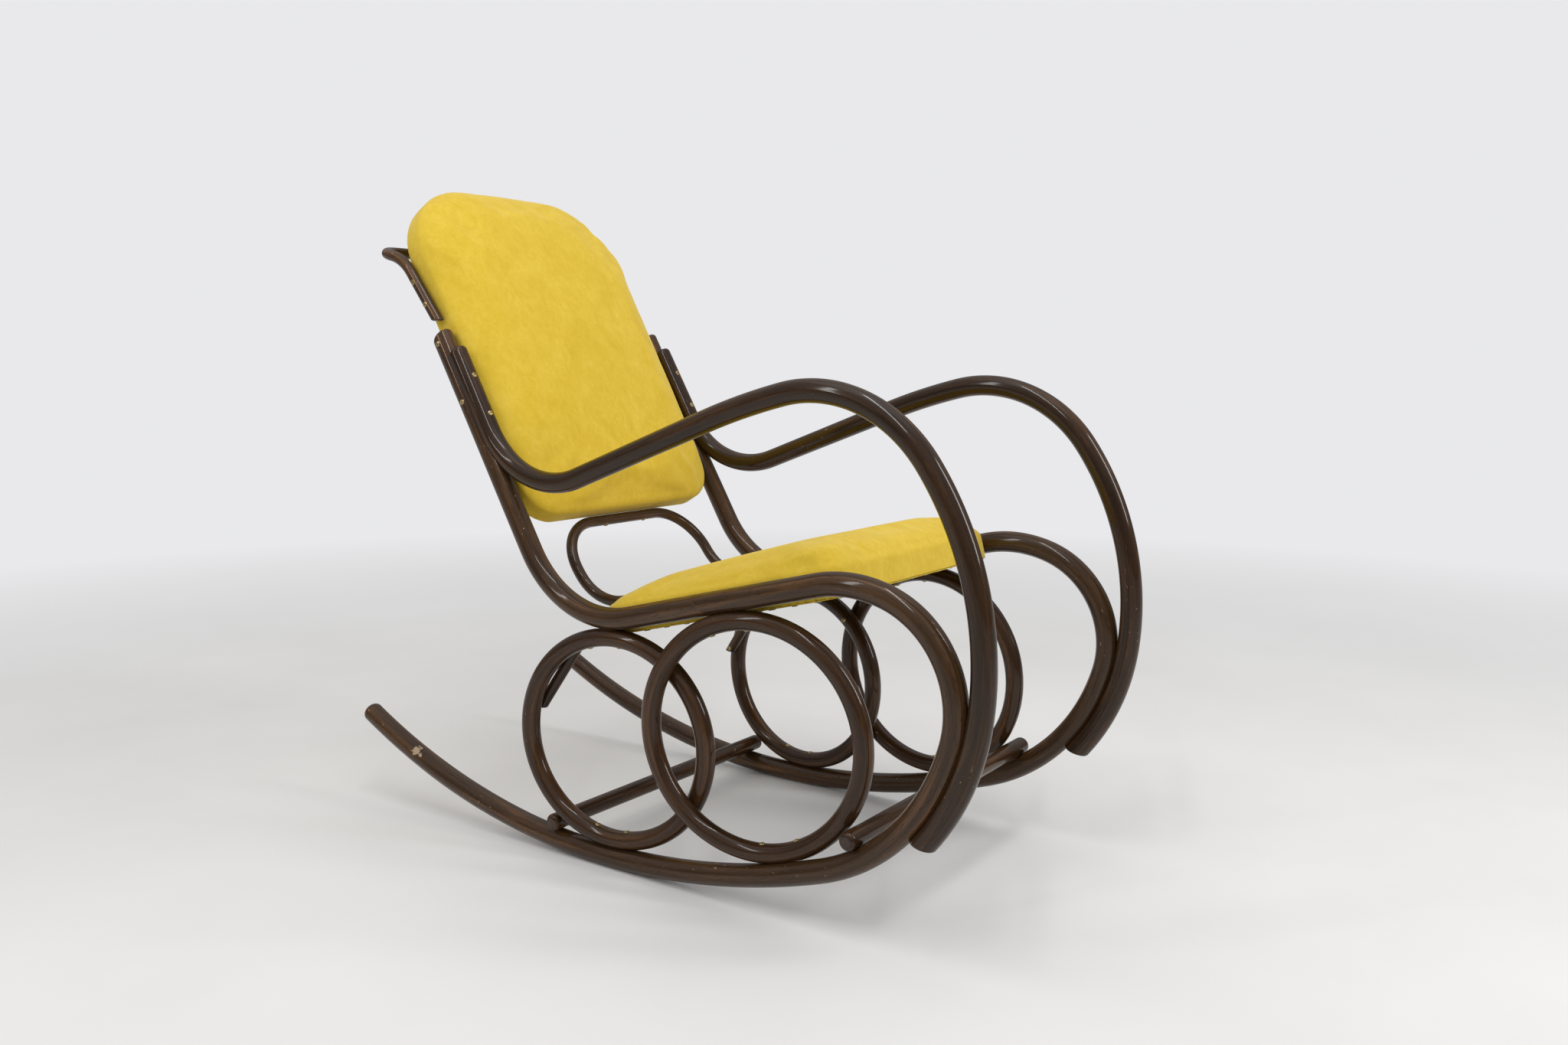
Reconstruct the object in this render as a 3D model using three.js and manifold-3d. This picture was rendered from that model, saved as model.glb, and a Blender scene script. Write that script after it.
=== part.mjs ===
// Bentwood rocking chair with an upholstered seat and back.
// Millimetres, +Z up, the front of the chair faces -Y and the sitter's left is +X.
// The floor is z = 0 and the origin lies on it, under the middle of the chair.
import * as THREE from 'three';
import { mergeVertices } from 'three/addons/utils/BufferGeometryUtils.js';
import Module from 'manifold-3d';

const wasm = await Module();
wasm.setup();

// Driving dimensions: the two side frames
const sideSpacing = 480;
const frameRodRadius = 16.3;
const runnerRadius = 1160;
const runnerRearSweepDeg = 27.9;
const runnerFrontSweepDeg = 18.8;
const floorContactSweepDeg = 3.4;
const chinRadius = 295;
const chinSweepDeg = 55;
const noseRadius = 142;
const noseSweepDeg = 87;
const browRadius = 189;
const browSweepDeg = 33;
const railLength = 329;
const heelRadius = 173;
const postLeanDeg = 60;
const postLength = 368;
const postTopSlantDeg = 20;
const scarfFromBrow = 189;
const scarfSlantDeg = 37;

// Driving dimensions: the arms
const armFrontRodRadius = 16.4;
const armRearRodRadius = 15.2;
const armFootBackDeg = 24.6;
const armFootSweepDeg = 33.7;
const armFrontRadius = 423;
const armFrontSweepDeg = 42.3;
const armShoulderRadius = 204;
const armShoulderSweepDeg = 68;
const armTopRadius = 1047;
const armTopSweepDeg = 7.1;
const armElbowRadius = 148;
const armRearEnd = 334;
const armSeatDepth = 15;
const armFootSeatDepth = 4;
const armFootSlantDeg = 24;

// Driving dimensions: the rings between rail and runner
const ringRodRadius = 13.5;
const rearRingY = -17;
const frontRingY = -265;
const ringSeatDepth = 2.5;
const ringWidening = 1.035;

// Driving dimensions: stretchers, hoop, handle and stays
const stretcherRodRadius = 13;
const stretcherOverhang = 4;
const stretcherSeatDepth = 1.5;
const stretcherOffRing = 3;
const hoopRodRadius = 8.6;
const hoopWidth = 314;
const hoopCornerRadius = 81;
const hoopLeanDeg = 53;
const hoopLegLength = 8;
const hoopBehindPosts = 10;
const handleRodRadius = 8.7;
const handleFootAbovePosts = 30;
const handleFootBehindPosts = 4;
const handleSlantDeg = 8;
const handleArmLength = 72;
const handleSweepRadius = 138;
const handleSweepDeg = 32;
const handleCornerRadius = 45;
const handleFootSlantDeg = 35;
const stayRodRadius = 8.5;
const stayTipDeg = 9;
const stayCrossDeg = 60;

// Driving dimensions: the upholstered seat
const seatLength = 428;
const seatRearOverhang = 90;
const seatRearCornerRadius = 60;
const seatFrontCornerRadius = 34;
const seatFrameThickness = 34;
const seatFrameBelowRail = 20;
const seatFrameWidth = 42;
const seatRearSideAboveRail = 14;
const seatFrontSideAboveRail = 30;
const seatCrownAboveRail = 60;

// Driving dimensions: the upholstered back
const backBottom = 46;
const backHeight = 588;
const backTopCornerRadius = 128;
const backBottomCornerRadius = 68;
const backFrameThickness = 26;
const backFrameBehindPosts = 18;
const backFrameWidth = 44;
const backSideAheadPosts = 27;
const backCrownAheadPosts = 52;

// Driving dimensions shared by seat and back
const coverThickness = 2.5;
const strapWidth = 50;
const strapThickness = 2;
const strapFromEdge = 14;
const liningThickness = 2;

// Driving dimensions: the screws
const screwHeadRadius = 4.4;
const screwHeadHeight = 2.2;
const screwShankRadius = 2;
const screwHeadSink = 0.8;
const screwBite = 14;
const ringScrewSpreadDeg = 10.5;
const rearRingScrewShiftDeg = 4;
const frontRingScrewShiftDeg = 0;
const stayScrewFromTip = 9;
const postScrewTopInset = 14;
const postScrewPitch = 102;
const armScrewInset = 52;
const armScrewPitch = 66;
const handleScrewInset = 32;
const handleScrewPitch = 44;
const hoopScrewPitch = 92;

// Fits
const clearance = 0.3;
const overrun = 6;

// Shapes given as shares of the piece that carries them
const rodDomeShare = 0.55;
const domeAnglesDeg = [70, 45, 20];
const crownInsetShares = [0, 0.03, 0.09, 0.2, 0.4, 0.68];
const crownFullness = 2.5;
const screwDomeShare = 0.75;
const screwDomeRadiusShare = 0.7;

// How finely round shapes are drawn
const rodSides = 10;
const screwSides = 8;
const ringSteps = 32;
const cornerSteps = 5;
const sideSteps = 4;
const bendStepDeg = 10;
const chordSag = 0.9;
const bisections = 60;

const rad = THREE.MathUtils.degToRad;
const deg = THREE.MathUtils.radToDeg;
const quarterTurn = Math.PI / 2;
const sideX = sideSpacing / 2;

const wood = {
  post: new THREE.MeshStandardMaterial({ color: '#3b2619', roughness: 0.3, metalness: 0 }),
  ring: new THREE.MeshStandardMaterial({ color: '#4a3020', roughness: 0.32, metalness: 0 }),
  inner: new THREE.MeshStandardMaterial({ color: '#b58f5f', roughness: 0.7, metalness: 0 }),
};
const velvet = new THREE.MeshStandardMaterial({ color: '#d9bb3d', roughness: 0.9, metalness: 0 });
const jute = new THREE.MeshStandardMaterial({ color: '#a88a5c', roughness: 0.95, metalness: 0 });
const lining = new THREE.MeshStandardMaterial({ color: '#2a2724', roughness: 0.95, metalness: 0 });
const brass = new THREE.MeshStandardMaterial({ color: '#b59a5b', roughness: 0.35, metalness: 1 });


// Flat routes in the side view: y runs rearward, z runs up, headings turn from +y to +z.

function advance(piece, share) {
  const turned = piece.heading + piece.turn * share;
  if (piece.turn === 0) {
    return {
      y: piece.y + Math.cos(piece.heading) * piece.length * share,
      z: piece.z + Math.sin(piece.heading) * piece.length * share,
      heading: turned,
    };
  }
  const signedRadius = piece.length / piece.turn;
  return {
    y: piece.y + signedRadius * (Math.sin(turned) - Math.sin(piece.heading)),
    z: piece.z + signedRadius * (Math.cos(piece.heading) - Math.cos(turned)),
    heading: turned,
  };
}

// The route is a chain of straights and arcs, each leaving where the last one ends.
function makeRoute(start, moves) {
  const pieces = [];
  let at = start;
  for (const move of moves) {
    const turn = rad(move.turnDeg ?? 0);
    const length = move.length ?? move.radius * Math.abs(turn);
    const piece = { ...at, length, turn };
    pieces.push(piece);
    at = advance(piece, 1);
  }
  const length = pieces.reduce((sum, piece) => sum + piece.length, 0);
  return { pieces, length, start, end: at };
}

function pointAt(route, distance) {
  let left = distance;
  for (const piece of route.pieces) {
    if (left <= piece.length || piece === route.pieces.at(-1)) return advance(piece, left / piece.length);
    left -= piece.length;
  }
  return route.end;
}

// The nearest point of a route to (y, z), found on each straight and arc in turn.
function nearest(route, y, z) {
  let best = null;
  let travelled = 0;
  for (const piece of route.pieces) {
    let share;
    if (piece.turn === 0) {
      const ahead = (y - piece.y) * Math.cos(piece.heading) + (z - piece.z) * Math.sin(piece.heading);
      share = ahead / piece.length;
    } else {
      const signedRadius = piece.length / piece.turn;
      const centreY = piece.y - signedRadius * Math.sin(piece.heading);
      const centreZ = piece.z + signedRadius * Math.cos(piece.heading);
      const sign = Math.sign(piece.turn);
      const from = Math.atan2(sign * (piece.z - centreZ), sign * (piece.y - centreY));
      const to = Math.atan2(sign * (z - centreZ), sign * (y - centreY));
      const swept = Math.atan2(Math.sin(to - from), Math.cos(to - from));
      share = swept / piece.turn;
    }
    const spot = advance(piece, THREE.MathUtils.clamp(share, 0, 1));
    const distance = Math.hypot(spot.y - y, spot.z - z);
    if (!best || distance < best.distance) {
      best = { ...spot, distance, travelled: travelled + piece.length * THREE.MathUtils.clamp(share, 0, 1) };
    }
    travelled += piece.length;
  }
  return best;
}

// The root of a rising or falling function between two ends.
function solve(low, high, error) {
  const rising = error(high) > error(low);
  for (let round = 0; round < bisections; round += 1) {
    const middle = (low + high) / 2;
    if (error(middle) > 0 === rising) high = middle;
    else low = middle;
  }
  return (low + high) / 2;
}

// Arcs are cut finely enough that no chord leaves its arc by more than the sag allowed.
function arcSteps(radius, turn) {
  const step = Math.min(rad(bendStepDeg), 2 * Math.acos(Math.max(0, 1 - chordSag / radius)));
  return Math.max(1, Math.ceil(Math.abs(turn) / step));
}

function stationsBetween(route, from, to) {
  const stations = [from];
  let travelled = 0;
  for (const piece of route.pieces) {
    const start = Math.max(from, travelled);
    const end = Math.min(to, travelled + piece.length);
    travelled += piece.length;
    if (end <= start) continue;
    const turn = Math.abs(piece.turn) * (end - start) / piece.length;
    const count = turn > 0 ? arcSteps((end - start) / turn, turn) : 1;
    for (let index = 1; index <= count; index += 1) stations.push(start + (end - start) * index / count);
  }
  return stations;
}

// Closed skins: rows of points joined in order, capped at both ends or closed on themselves.
function skin(rows, { closed = false, startTip = null, endTip = null } = {}) {
  const positions = [];
  const index = [];
  const count = rows[0].length;
  for (const row of rows) for (const point of row) positions.push(point.x, point.y, point.z);
  const bands = closed ? rows.length : rows.length - 1;
  for (let band = 0; band < bands; band += 1) {
    const next = (band + 1) % rows.length;
    for (let step = 0; step < count; step += 1) {
      const a = band * count + step;
      const b = band * count + (step + 1) % count;
      const c = next * count + step;
      const d = next * count + (step + 1) % count;
      index.push(a, b, d, a, d, c);
    }
  }
  const tips = closed ? [] : [[0, startTip, true], [rows.length - 1, endTip, false]];
  for (const [row, tip, first] of tips) {
    const middle = tip ?? rows[row].reduce((sum, point) => sum.add(point), new THREE.Vector3())
      .divideScalar(count);
    positions.push(middle.x, middle.y, middle.z);
    const centre = positions.length / 3 - 1;
    for (let step = 0; step < count; step += 1) {
      const a = row * count + step;
      const b = row * count + (step + 1) % count;
      index.push(...(first ? [centre, b, a] : [centre, a, b]));
    }
  }
  const geometry = new THREE.BufferGeometry();
  geometry.setAttribute('position', new THREE.Float32BufferAttribute(positions, 3));
  geometry.setIndex(index);
  return outward(geometry);
}

// Faces are turned to point out, judged by the sign of the enclosed volume.
function outward(geometry) {
  const position = geometry.attributes.position;
  const index = geometry.index.array;
  const corners = [new THREE.Vector3(), new THREE.Vector3(), new THREE.Vector3()];
  let volume = 0;
  for (let face = 0; face < index.length; face += 3) {
    corners.forEach((corner, turn) => corner.fromBufferAttribute(position, index[face + turn]));
    volume += corners[0].dot(corners[1].cross(corners[2]));
  }
  if (volume < 0) geometry.setIndex(Array.from(index).reverse());
  return geometry;
}

function mirrored(geometry) {
  const copy = geometry.clone();
  copy.scale(-1, 1, 1);
  return outward(copy);
}

// Cuts and joins
function toSolid(geometry) {
  const bare = new THREE.BufferGeometry();
  bare.setAttribute('position', geometry.attributes.position.clone());
  if (geometry.index) bare.setIndex(geometry.index.clone());
  const merged = mergeVertices(bare);
  return new wasm.Manifold(new wasm.Mesh({
    numProp: 3,
    vertProperties: new Float32Array(merged.attributes.position.array),
    triVerts: new Uint32Array(merged.index.array),
  }));
}

function toGeometry(solid) {
  const mesh = solid.getMesh();
  const geometry = new THREE.BufferGeometry();
  geometry.setAttribute('position', new THREE.Float32BufferAttribute(mesh.vertProperties, 3));
  geometry.setIndex(Array.from(mesh.triVerts));
  return geometry;
}

function cut(geometry, cutters) {
  let solid = toSolid(geometry);
  for (const cutter of cutters) solid = solid.subtract(toSolid(cutter));
  return toGeometry(solid);
}

function join(geometries) {
  let solid = toSolid(geometries[0]);
  for (const geometry of geometries.slice(1)) solid = solid.add(toSolid(geometry));
  return toGeometry(solid);
}

// Round rods: a circle is carried along stations that give its centre, two directions and a radius.
// A rounded end is a few shrinking circles past the last station.
function rodSkin(stations, { startDome = 0, endDome = 0 } = {}) {
  const full = stations.map((station) => ({ ...station }));
  for (const [dome, end, sign] of [[startDome, stations[0], -1], [endDome, stations.at(-1), 1]]) {
    if (!dome) continue;
    const along = new THREE.Vector3().crossVectors(end.across, end.up);
    for (const angle of domeAnglesDeg.toReversed().map(rad)) {
      const centre = end.centre.clone().addScaledVector(along, sign * dome * Math.sin(angle));
      const circle = { ...end, centre, radius: end.radius * Math.cos(angle), slant: 0 };
      if (sign < 0) full.unshift(circle);
      else full.push(circle);
    }
  }
  return skin(full.map(({ centre, across, up, radius, slant = 0 }) => {
    const along = new THREE.Vector3().crossVectors(across, up);
    return Array.from({ length: rodSides }, (unused, step) => {
      const angle = 2 * Math.PI * (step + 1 / 2) / rodSides;
      return centre.clone()
        .addScaledVector(across, radius * Math.cos(angle))
        .addScaledVector(up, radius * Math.sin(angle))
        .addScaledVector(along, slant * radius * Math.cos(angle));
    });
  }));
}

// A rod whose route stays in one plane of constant x
function flatRod(route, x, radiusAt, options = {}) {
  const { from = 0, to = route.length, slantStart = 0, slantEnd = 0 } = options;
  const stations = stationsBetween(route, from, to).map((distance) => {
    const spot = pointAt(route, distance);
    const across = new THREE.Vector3(0, -Math.sin(spot.heading), Math.cos(spot.heading));
    const centre = new THREE.Vector3(x, spot.y, spot.z);
    return { centre, across, up: new THREE.Vector3(1, 0, 0), radius: radiusAt(distance) };
  });
  stations[0].slant = slantStart;
  stations.at(-1).slant = slantEnd;
  return rodSkin(stations, options);
}

// A rod bent in space: each move is a straight, or an arc about an axis square to the rod.
function bentStations(start, moves, radius) {
  const up = new THREE.Vector3().crossVectors(start.along, start.across);
  let at = { centre: start.centre.clone(), across: start.across.clone(), up, along: start.along.clone() };
  const stations = [{ ...at, radius }];
  for (const move of moves) {
    const count = move.about ? arcSteps(move.radius, rad(move.turnDeg)) : 1;
    for (let step = 0; step < count; step += 1) {
      const next = {
        centre: at.centre.clone(), across: at.across.clone(), up: at.up.clone(), along: at.along.clone(),
      };
      if (move.about) {
        const angle = rad(move.turnDeg) / count;
        const inward = new THREE.Vector3().crossVectors(move.about, at.along);
        const hub = at.centre.clone().addScaledVector(inward, move.radius);
        next.centre.sub(hub).applyAxisAngle(move.about, angle).add(hub);
        for (const axis of [next.across, next.up, next.along]) axis.applyAxisAngle(move.about, angle);
      } else {
        next.centre.addScaledVector(at.along, move.length);
      }
      stations.push({ ...next, radius });
      at = next;
    }
  }
  return stations;
}

// Stations from the middle of a symmetrical rod to its left end, with their mirror image before them.
function bothHalves(half) {
  const flip = (vector) => new THREE.Vector3(-vector.x, vector.y, vector.z);
  const right = half.slice(1).reverse().map(({ centre, across, up, radius, slant = 0 }) => ({
    centre: flip(centre), across: flip(across), up: flip(up), radius, slant: -slant,
  }));
  return [...right, ...half];
}

// The side frame's route: from the rear tip down to the floor, forward, round the curl and up the post
const runnerRearTurn = rad(runnerRearSweepDeg);
const frameStart = {
  y: runnerRadius * Math.sin(runnerRearTurn),
  z: frameRodRadius + runnerRadius * (1 - Math.cos(runnerRearTurn)),
  heading: Math.PI + runnerRearTurn,
};
const railHeadingDeg = 180 - runnerFrontSweepDeg - chinSweepDeg - noseSweepDeg - browSweepDeg;
const lowerMoves = [
  { radius: runnerRadius, turnDeg: -(runnerRearSweepDeg - floorContactSweepDeg / 2) },
  { radius: runnerRadius, turnDeg: -floorContactSweepDeg },
  { radius: runnerRadius, turnDeg: -(runnerFrontSweepDeg - floorContactSweepDeg / 2) },
  { radius: chinRadius, turnDeg: -chinSweepDeg },
];
const upperMoves = [
  { radius: browRadius, turnDeg: -browSweepDeg },
  { length: railLength },
  { radius: heelRadius, turnDeg: postLeanDeg - railHeadingDeg },
];
const frameRoute = makeRoute(frameStart, [
  ...lowerMoves,
  { radius: noseRadius, turnDeg: -noseSweepDeg },
  ...upperMoves,
  { length: postLength },
]);
const lowerRoute = makeRoute(frameStart, lowerMoves);
const chinLength = lowerRoute.pieces.at(-1).length;
const noseLength = noseRadius * rad(noseSweepDeg);
const browStart = lowerRoute.length + noseLength;
const upperRoute = makeRoute(pointAt(frameRoute, browStart), upperMoves);
const railStart = browStart + upperRoute.pieces[0].length;
const railEnd = railStart + railLength;
const postStart = browStart + upperRoute.length;
const scarfAt = railStart + scarfFromBrow;
const frameCutter = flatRod(frameRoute, sideX, () => frameRodRadius + clearance);

// Places on the back: across, up along the posts from their foot, and forward of their middle line
const postFoot = pointAt(frameRoute, postStart);
const postLean = rad(postLeanDeg);
const backUp = new THREE.Vector3(0, Math.cos(postLean), Math.sin(postLean));
const backAhead = new THREE.Vector3(0, -Math.sin(postLean), Math.cos(postLean));
function onBack(x, up, ahead) {
  return new THREE.Vector3(x, postFoot.y, postFoot.z).addScaledVector(backUp, up)
    .addScaledVector(backAhead, ahead);
}

// Places on the seat: across, forward along the rails from their rear end, and above their middle line
const railRear = pointAt(frameRoute, railEnd);
const railHeading = rad(railHeadingDeg);
const seatForward = new THREE.Vector3(0, -Math.cos(railHeading), -Math.sin(railHeading));
const seatUp = new THREE.Vector3(0, -Math.sin(railHeading), Math.cos(railHeading));
function onSeat(x, forward, above) {
  return new THREE.Vector3(x, railRear.y, railRear.z).addScaledVector(seatForward, forward)
    .addScaledVector(seatUp, above);
}

// The arm's route: round the outside of the curl, up and over, down to the elbow and up the post's face
const armFootAt = lowerRoute.length - chinLength * armFootBackDeg / chinSweepDeg;
const armFoot = pointAt(frameRoute, armFootAt);
const armFootOffset = frameRodRadius + armFrontRodRadius - armFootSeatDepth;
const armStart = {
  y: armFoot.y - armFootOffset * Math.sin(armFoot.heading),
  z: armFoot.z + armFootOffset * Math.cos(armFoot.heading),
  heading: armFoot.heading,
};
const armOnPost = frameRodRadius + armRearRodRadius - armSeatDepth;
const armBends = [
  { radius: chinRadius + armFootOffset, turnDeg: -armFootSweepDeg },
  { radius: armFrontRadius, turnDeg: -armFrontSweepDeg },
  { radius: armShoulderRadius, turnDeg: -armShoulderSweepDeg },
  { radius: armTopRadius, turnDeg: -armTopSweepDeg },
];
const armRiseHeadingDeg = armBends.reduce((sum, { turnDeg }) => sum + turnDeg, deg(armStart.heading));
const armElbow = { radius: armElbowRadius, turnDeg: postLeanDeg - armRiseHeadingDeg };
function onBackFromSide(spot) {
  const from = new THREE.Vector3(0, spot.y - postFoot.y, spot.z - postFoot.z);
  return { up: from.dot(backUp), ahead: from.dot(backAhead) };
}
function armElbowEnd(riseLength) {
  return onBackFromSide(makeRoute(armStart, [...armBends, { length: riseLength }, armElbow]).end);
}
const armRise = solve(0, frameRoute.length, (length) => armElbowEnd(length).ahead - armOnPost);
const armRoute = makeRoute(armStart, [
  ...armBends,
  { length: armRise },
  armElbow,
  { length: armRearEnd - armElbowEnd(armRise).up },
]);
const armRadiusAt = (distance) => THREE.MathUtils
  .lerp(armFrontRodRadius, armRearRodRadius, distance / armRoute.length);

// The rings stand between runner and rail, each as large as the frame is open where it stands.
// Both are turned about the vertical by the same angle, so that they pass each other where they cross.
const ringTurn = Math.asin((2 * ringRodRadius + clearance) / (rearRingY - frontRingY));
const ringAlong = new THREE.Vector3(Math.sin(ringTurn), Math.cos(ringTurn), 0);
const ringOutward = new THREE.Vector3(Math.cos(ringTurn), -Math.sin(ringTurn), 0);
function makeRing(y) {
  const z = solve(0, frameRoute.end.z, (height) => nearest(lowerRoute, y, height).distance
    - nearest(upperRoute, y, height).distance);
  const below = nearest(lowerRoute, y, z);
  const above = nearest(upperRoute, y, z);
  const radius = below.distance - frameRodRadius - ringRodRadius + ringSeatDepth;
  const centre = new THREE.Vector3(sideX, y, z);
  const angleTo = (spot) => Math.atan2(spot.z - z, spot.y - y);
  return { centre, radius, footAt: below.travelled, belowAngle: angleTo(below), aboveAngle: angleTo(above) };
}
const rings = { rear: makeRing(rearRingY), front: makeRing(frontRingY) };

function onRing(ring, angle, radius, outward) {
  return ring.centre.clone()
    .addScaledVector(ringAlong, ringWidening * radius * Math.cos(angle))
    .addScaledVector(new THREE.Vector3(0, 0, 1), radius * Math.sin(angle))
    .addScaledVector(ringOutward, outward);
}

// How far a place seen from the side is from the ring's centre, counted as on a round ring
function fromRing(ring, spot) {
  return Math.hypot((spot.y - ring.centre.y) / ringWidening / Math.cos(ringTurn), spot.z - ring.centre.z);
}

function ringSkin(ring, rodRadius) {
  return skin(Array.from({ length: ringSteps }, (unused, step) => {
    const angle = 2 * Math.PI * step / ringSteps;
    return Array.from({ length: rodSides }, (none, side) => {
      const round = 2 * Math.PI * (side + 1 / 2) / rodSides;
      return onRing(ring, angle, ring.radius + rodRadius * Math.cos(round), rodRadius * Math.sin(round));
    });
  }), { closed: true });
}

// A stretcher lies in the corner between a ring and the runner.
function stretcherCentre(ring, farEnd) {
  const offset = frameRodRadius + stretcherRodRadius - stretcherSeatDepth;
  const reach = ring.radius + ringRodRadius + stretcherRodRadius + stretcherOffRing;
  const place = (distance) => {
    const spot = pointAt(frameRoute, distance);
    return { y: spot.y + offset * Math.sin(spot.heading), z: spot.z - offset * Math.cos(spot.heading) };
  };
  const distance = solve(ring.footAt, farEnd, (at) => {
    const spot = place(at);
    return fromRing(ring, spot) - reach;
  });
  return place(distance);
}

function stretcher(centre) {
  const dome = stretcherRodRadius * rodDomeShare;
  const half = sideX + frameRodRadius + stretcherOverhang - dome;
  const stations = [-half, half].map((x) => ({
    centre: new THREE.Vector3(x, centre.y, centre.z),
    across: new THREE.Vector3(0, 1, 0),
    up: new THREE.Vector3(0, 0, 1),
    radius: stretcherRodRadius,
  }));
  return cut(rodSkin(stations, { startDome: dome, endDome: dome }), [frameCutter, mirrored(frameCutter)]);
}

// A rectangle with four round corners, as pairs across and along, drawn in by an inset
function roundedOutline({ halfWidth, start, end, startRadius, endRadius }, inset) {
  const corners = [
    { side: 1, edge: end, radius: endRadius, inward: -1 },
    { side: -1, edge: end, radius: endRadius, inward: -1 },
    { side: -1, edge: start, radius: startRadius, inward: 1 },
    { side: 1, edge: start, radius: startRadius, inward: 1 },
  ];
  const arcs = corners.map(({ side, edge, radius, inward }, turned) => {
    const round = Math.max(radius - inset, coverThickness);
    const across = side * (halfWidth - inset - round);
    const along = edge + inward * (inset + round);
    return Array.from({ length: cornerSteps + 1 }, (unused, step) => {
      const angle = quarterTurn * (turned + step / cornerSteps);
      return [across + round * Math.cos(angle), along + round * Math.sin(angle)];
    });
  });
  return arcs.flatMap((arc, corner) => {
    const from = arc.at(-1);
    const to = arcs[(corner + 1) % arcs.length][0];
    const between = Array.from({ length: sideSteps - 1 }, (unused, step) => from
      .map((value, axis) => THREE.MathUtils.lerp(value, to[axis], (step + 1) / sideSteps)));
    return [...arc, ...between];
  });
}

function plate(outline, inset, low, high, place) {
  return skin([low, high].map((height) => roundedOutline(outline, inset)
    .map(([across, along]) => place(across, along, height))));
}

function openFrame(outline, inset, width, low, high, place) {
  const loops = [[inset, low], [inset, high], [inset + width, high], [inset + width, low]];
  return skin(loops.map(([drawnIn, height]) => roundedOutline(outline, drawnIn)
    .map(([across, along]) => place(across, along, height))), { closed: true });
}

// An upholstered form: sides up from the rim, a full crown, and a hollow underneath for the frame
function upholstery(outline, { rim, sides, crown, roof }, place) {
  const middle = (outline.start + outline.end) / 2;
  const row = (points, height) => points.map(([across, along]) => place(across, along, height));
  const edge = roundedOutline(outline, 0);
  const crownRow = (share) => {
    const fill = (1 - (1 - share) ** crownFullness) ** (1 / crownFullness);
    return edge.map(([across, along]) => {
      const drawnIn = THREE.MathUtils.lerp(along, middle, share);
      const side = THREE.MathUtils.mapLinear(drawnIn, outline.start, outline.end, ...sides);
      return place(across * (1 - share), drawnIn, THREE.MathUtils.lerp(side, crown, fill));
    });
  };
  const body = skin([row(edge, rim), ...crownInsetShares.map(crownRow)], { endTip: place(0, middle, crown) });
  const inner = roundedOutline(outline, coverThickness);
  return cut(body, [skin([row(inner, rim - overrun), row(inner, roof)])]);
}

// Flat straps that cross each other, held together as one lattice
function webbing(acrossSpan, alongSpan, acrossPlaces, alongPlaces, low, place) {
  const strap = (acrossFrom, acrossTo, alongFrom, alongTo) => skin([low, low + strapThickness]
    .map((height) => [
      place(acrossFrom, alongFrom, height), place(acrossTo, alongFrom, height),
      place(acrossTo, alongTo, height), place(acrossFrom, alongTo, height),
    ]));
  return join([
    ...acrossPlaces.map((at) => strap(at - strapWidth / 2, at + strapWidth / 2, ...alongSpan)),
    ...alongPlaces.map((at) => strap(...acrossSpan, at - strapWidth / 2, at + strapWidth / 2)),
  ]);
}

function evenPlaces(from, to, count) {
  return Array.from({ length: count }, (unused, index) => THREE.MathUtils
    .lerp(from, to, (index + 1 / 2) / count));
}

// A domed screw and the hole it needs: head is where the head rests, depth is how far the shank goes in.
function revolve(head, direction, profile) {
  const across = new THREE.Vector3(1, 0, 0).cross(direction);
  if (across.lengthSq() < 1 / 2) across.set(0, 1, 0).cross(direction);
  across.normalize();
  const up = new THREE.Vector3().crossVectors(direction, across);
  return profile.map(([radius, height]) => Array.from({ length: screwSides }, (unused, step) => {
    const angle = 2 * Math.PI * (step + 1 / 2) / screwSides;
    return head.clone().addScaledVector(direction, -height)
      .addScaledVector(across, radius * Math.cos(angle))
      .addScaledVector(up, radius * Math.sin(angle));
  }));
}

function makeScrew(surface, direction, depth) {
  const head = surface.clone().addScaledVector(direction, screwHeadSink);
  const length = depth - screwHeadSink;
  const geometry = skin(revolve(head, direction, [
    [screwShankRadius, -length],
    [screwShankRadius, 0],
    [screwHeadRadius, 0],
    [screwHeadRadius * screwDomeRadiusShare, screwHeadHeight * screwDomeShare],
  ]), { endTip: head.clone().addScaledVector(direction, -screwHeadHeight) });
  const hole = skin(revolve(head, direction, [
    [screwShankRadius + clearance, -length - clearance],
    [screwShankRadius + clearance, 0],
    [screwHeadRadius + clearance, 0],
    [screwHeadRadius + clearance, overrun],
  ]));
  return { geometry, hole };
}

// Every piece of the chair is gathered here under its name.
const pieces = [];
function add(name, geometry, material) {
  pieces.push({ name, geometry, material });
}
function addPair(name, geometry, material) {
  add(`${name}_left`, geometry, material);
  add(`${name}_right`, mirrored(geometry), material);
}

// Seat and back outlines
const panelHalfWidth = sideX - frameRodRadius - clearance;
const seatOutline = {
  halfWidth: panelHalfWidth,
  start: -seatRearOverhang,
  end: seatLength - seatRearOverhang,
  startRadius: seatRearCornerRadius,
  endRadius: seatFrontCornerRadius,
};
const backOutline = {
  halfWidth: panelHalfWidth,
  start: backBottom,
  end: backBottom + backHeight,
  startRadius: backBottomCornerRadius,
  endRadius: backTopCornerRadius,
};
const frameInset = coverThickness + clearance;
const seatFrameTop = seatFrameThickness - seatFrameBelowRail;
const seatRim = -seatFrameBelowRail - clearance - liningThickness;
const backFrameFront = backFrameThickness - backFrameBehindPosts;
const backRim = -backFrameBehindPosts - clearance - liningThickness;
const foamAboveFrame = clearance + strapThickness + clearance;

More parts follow.
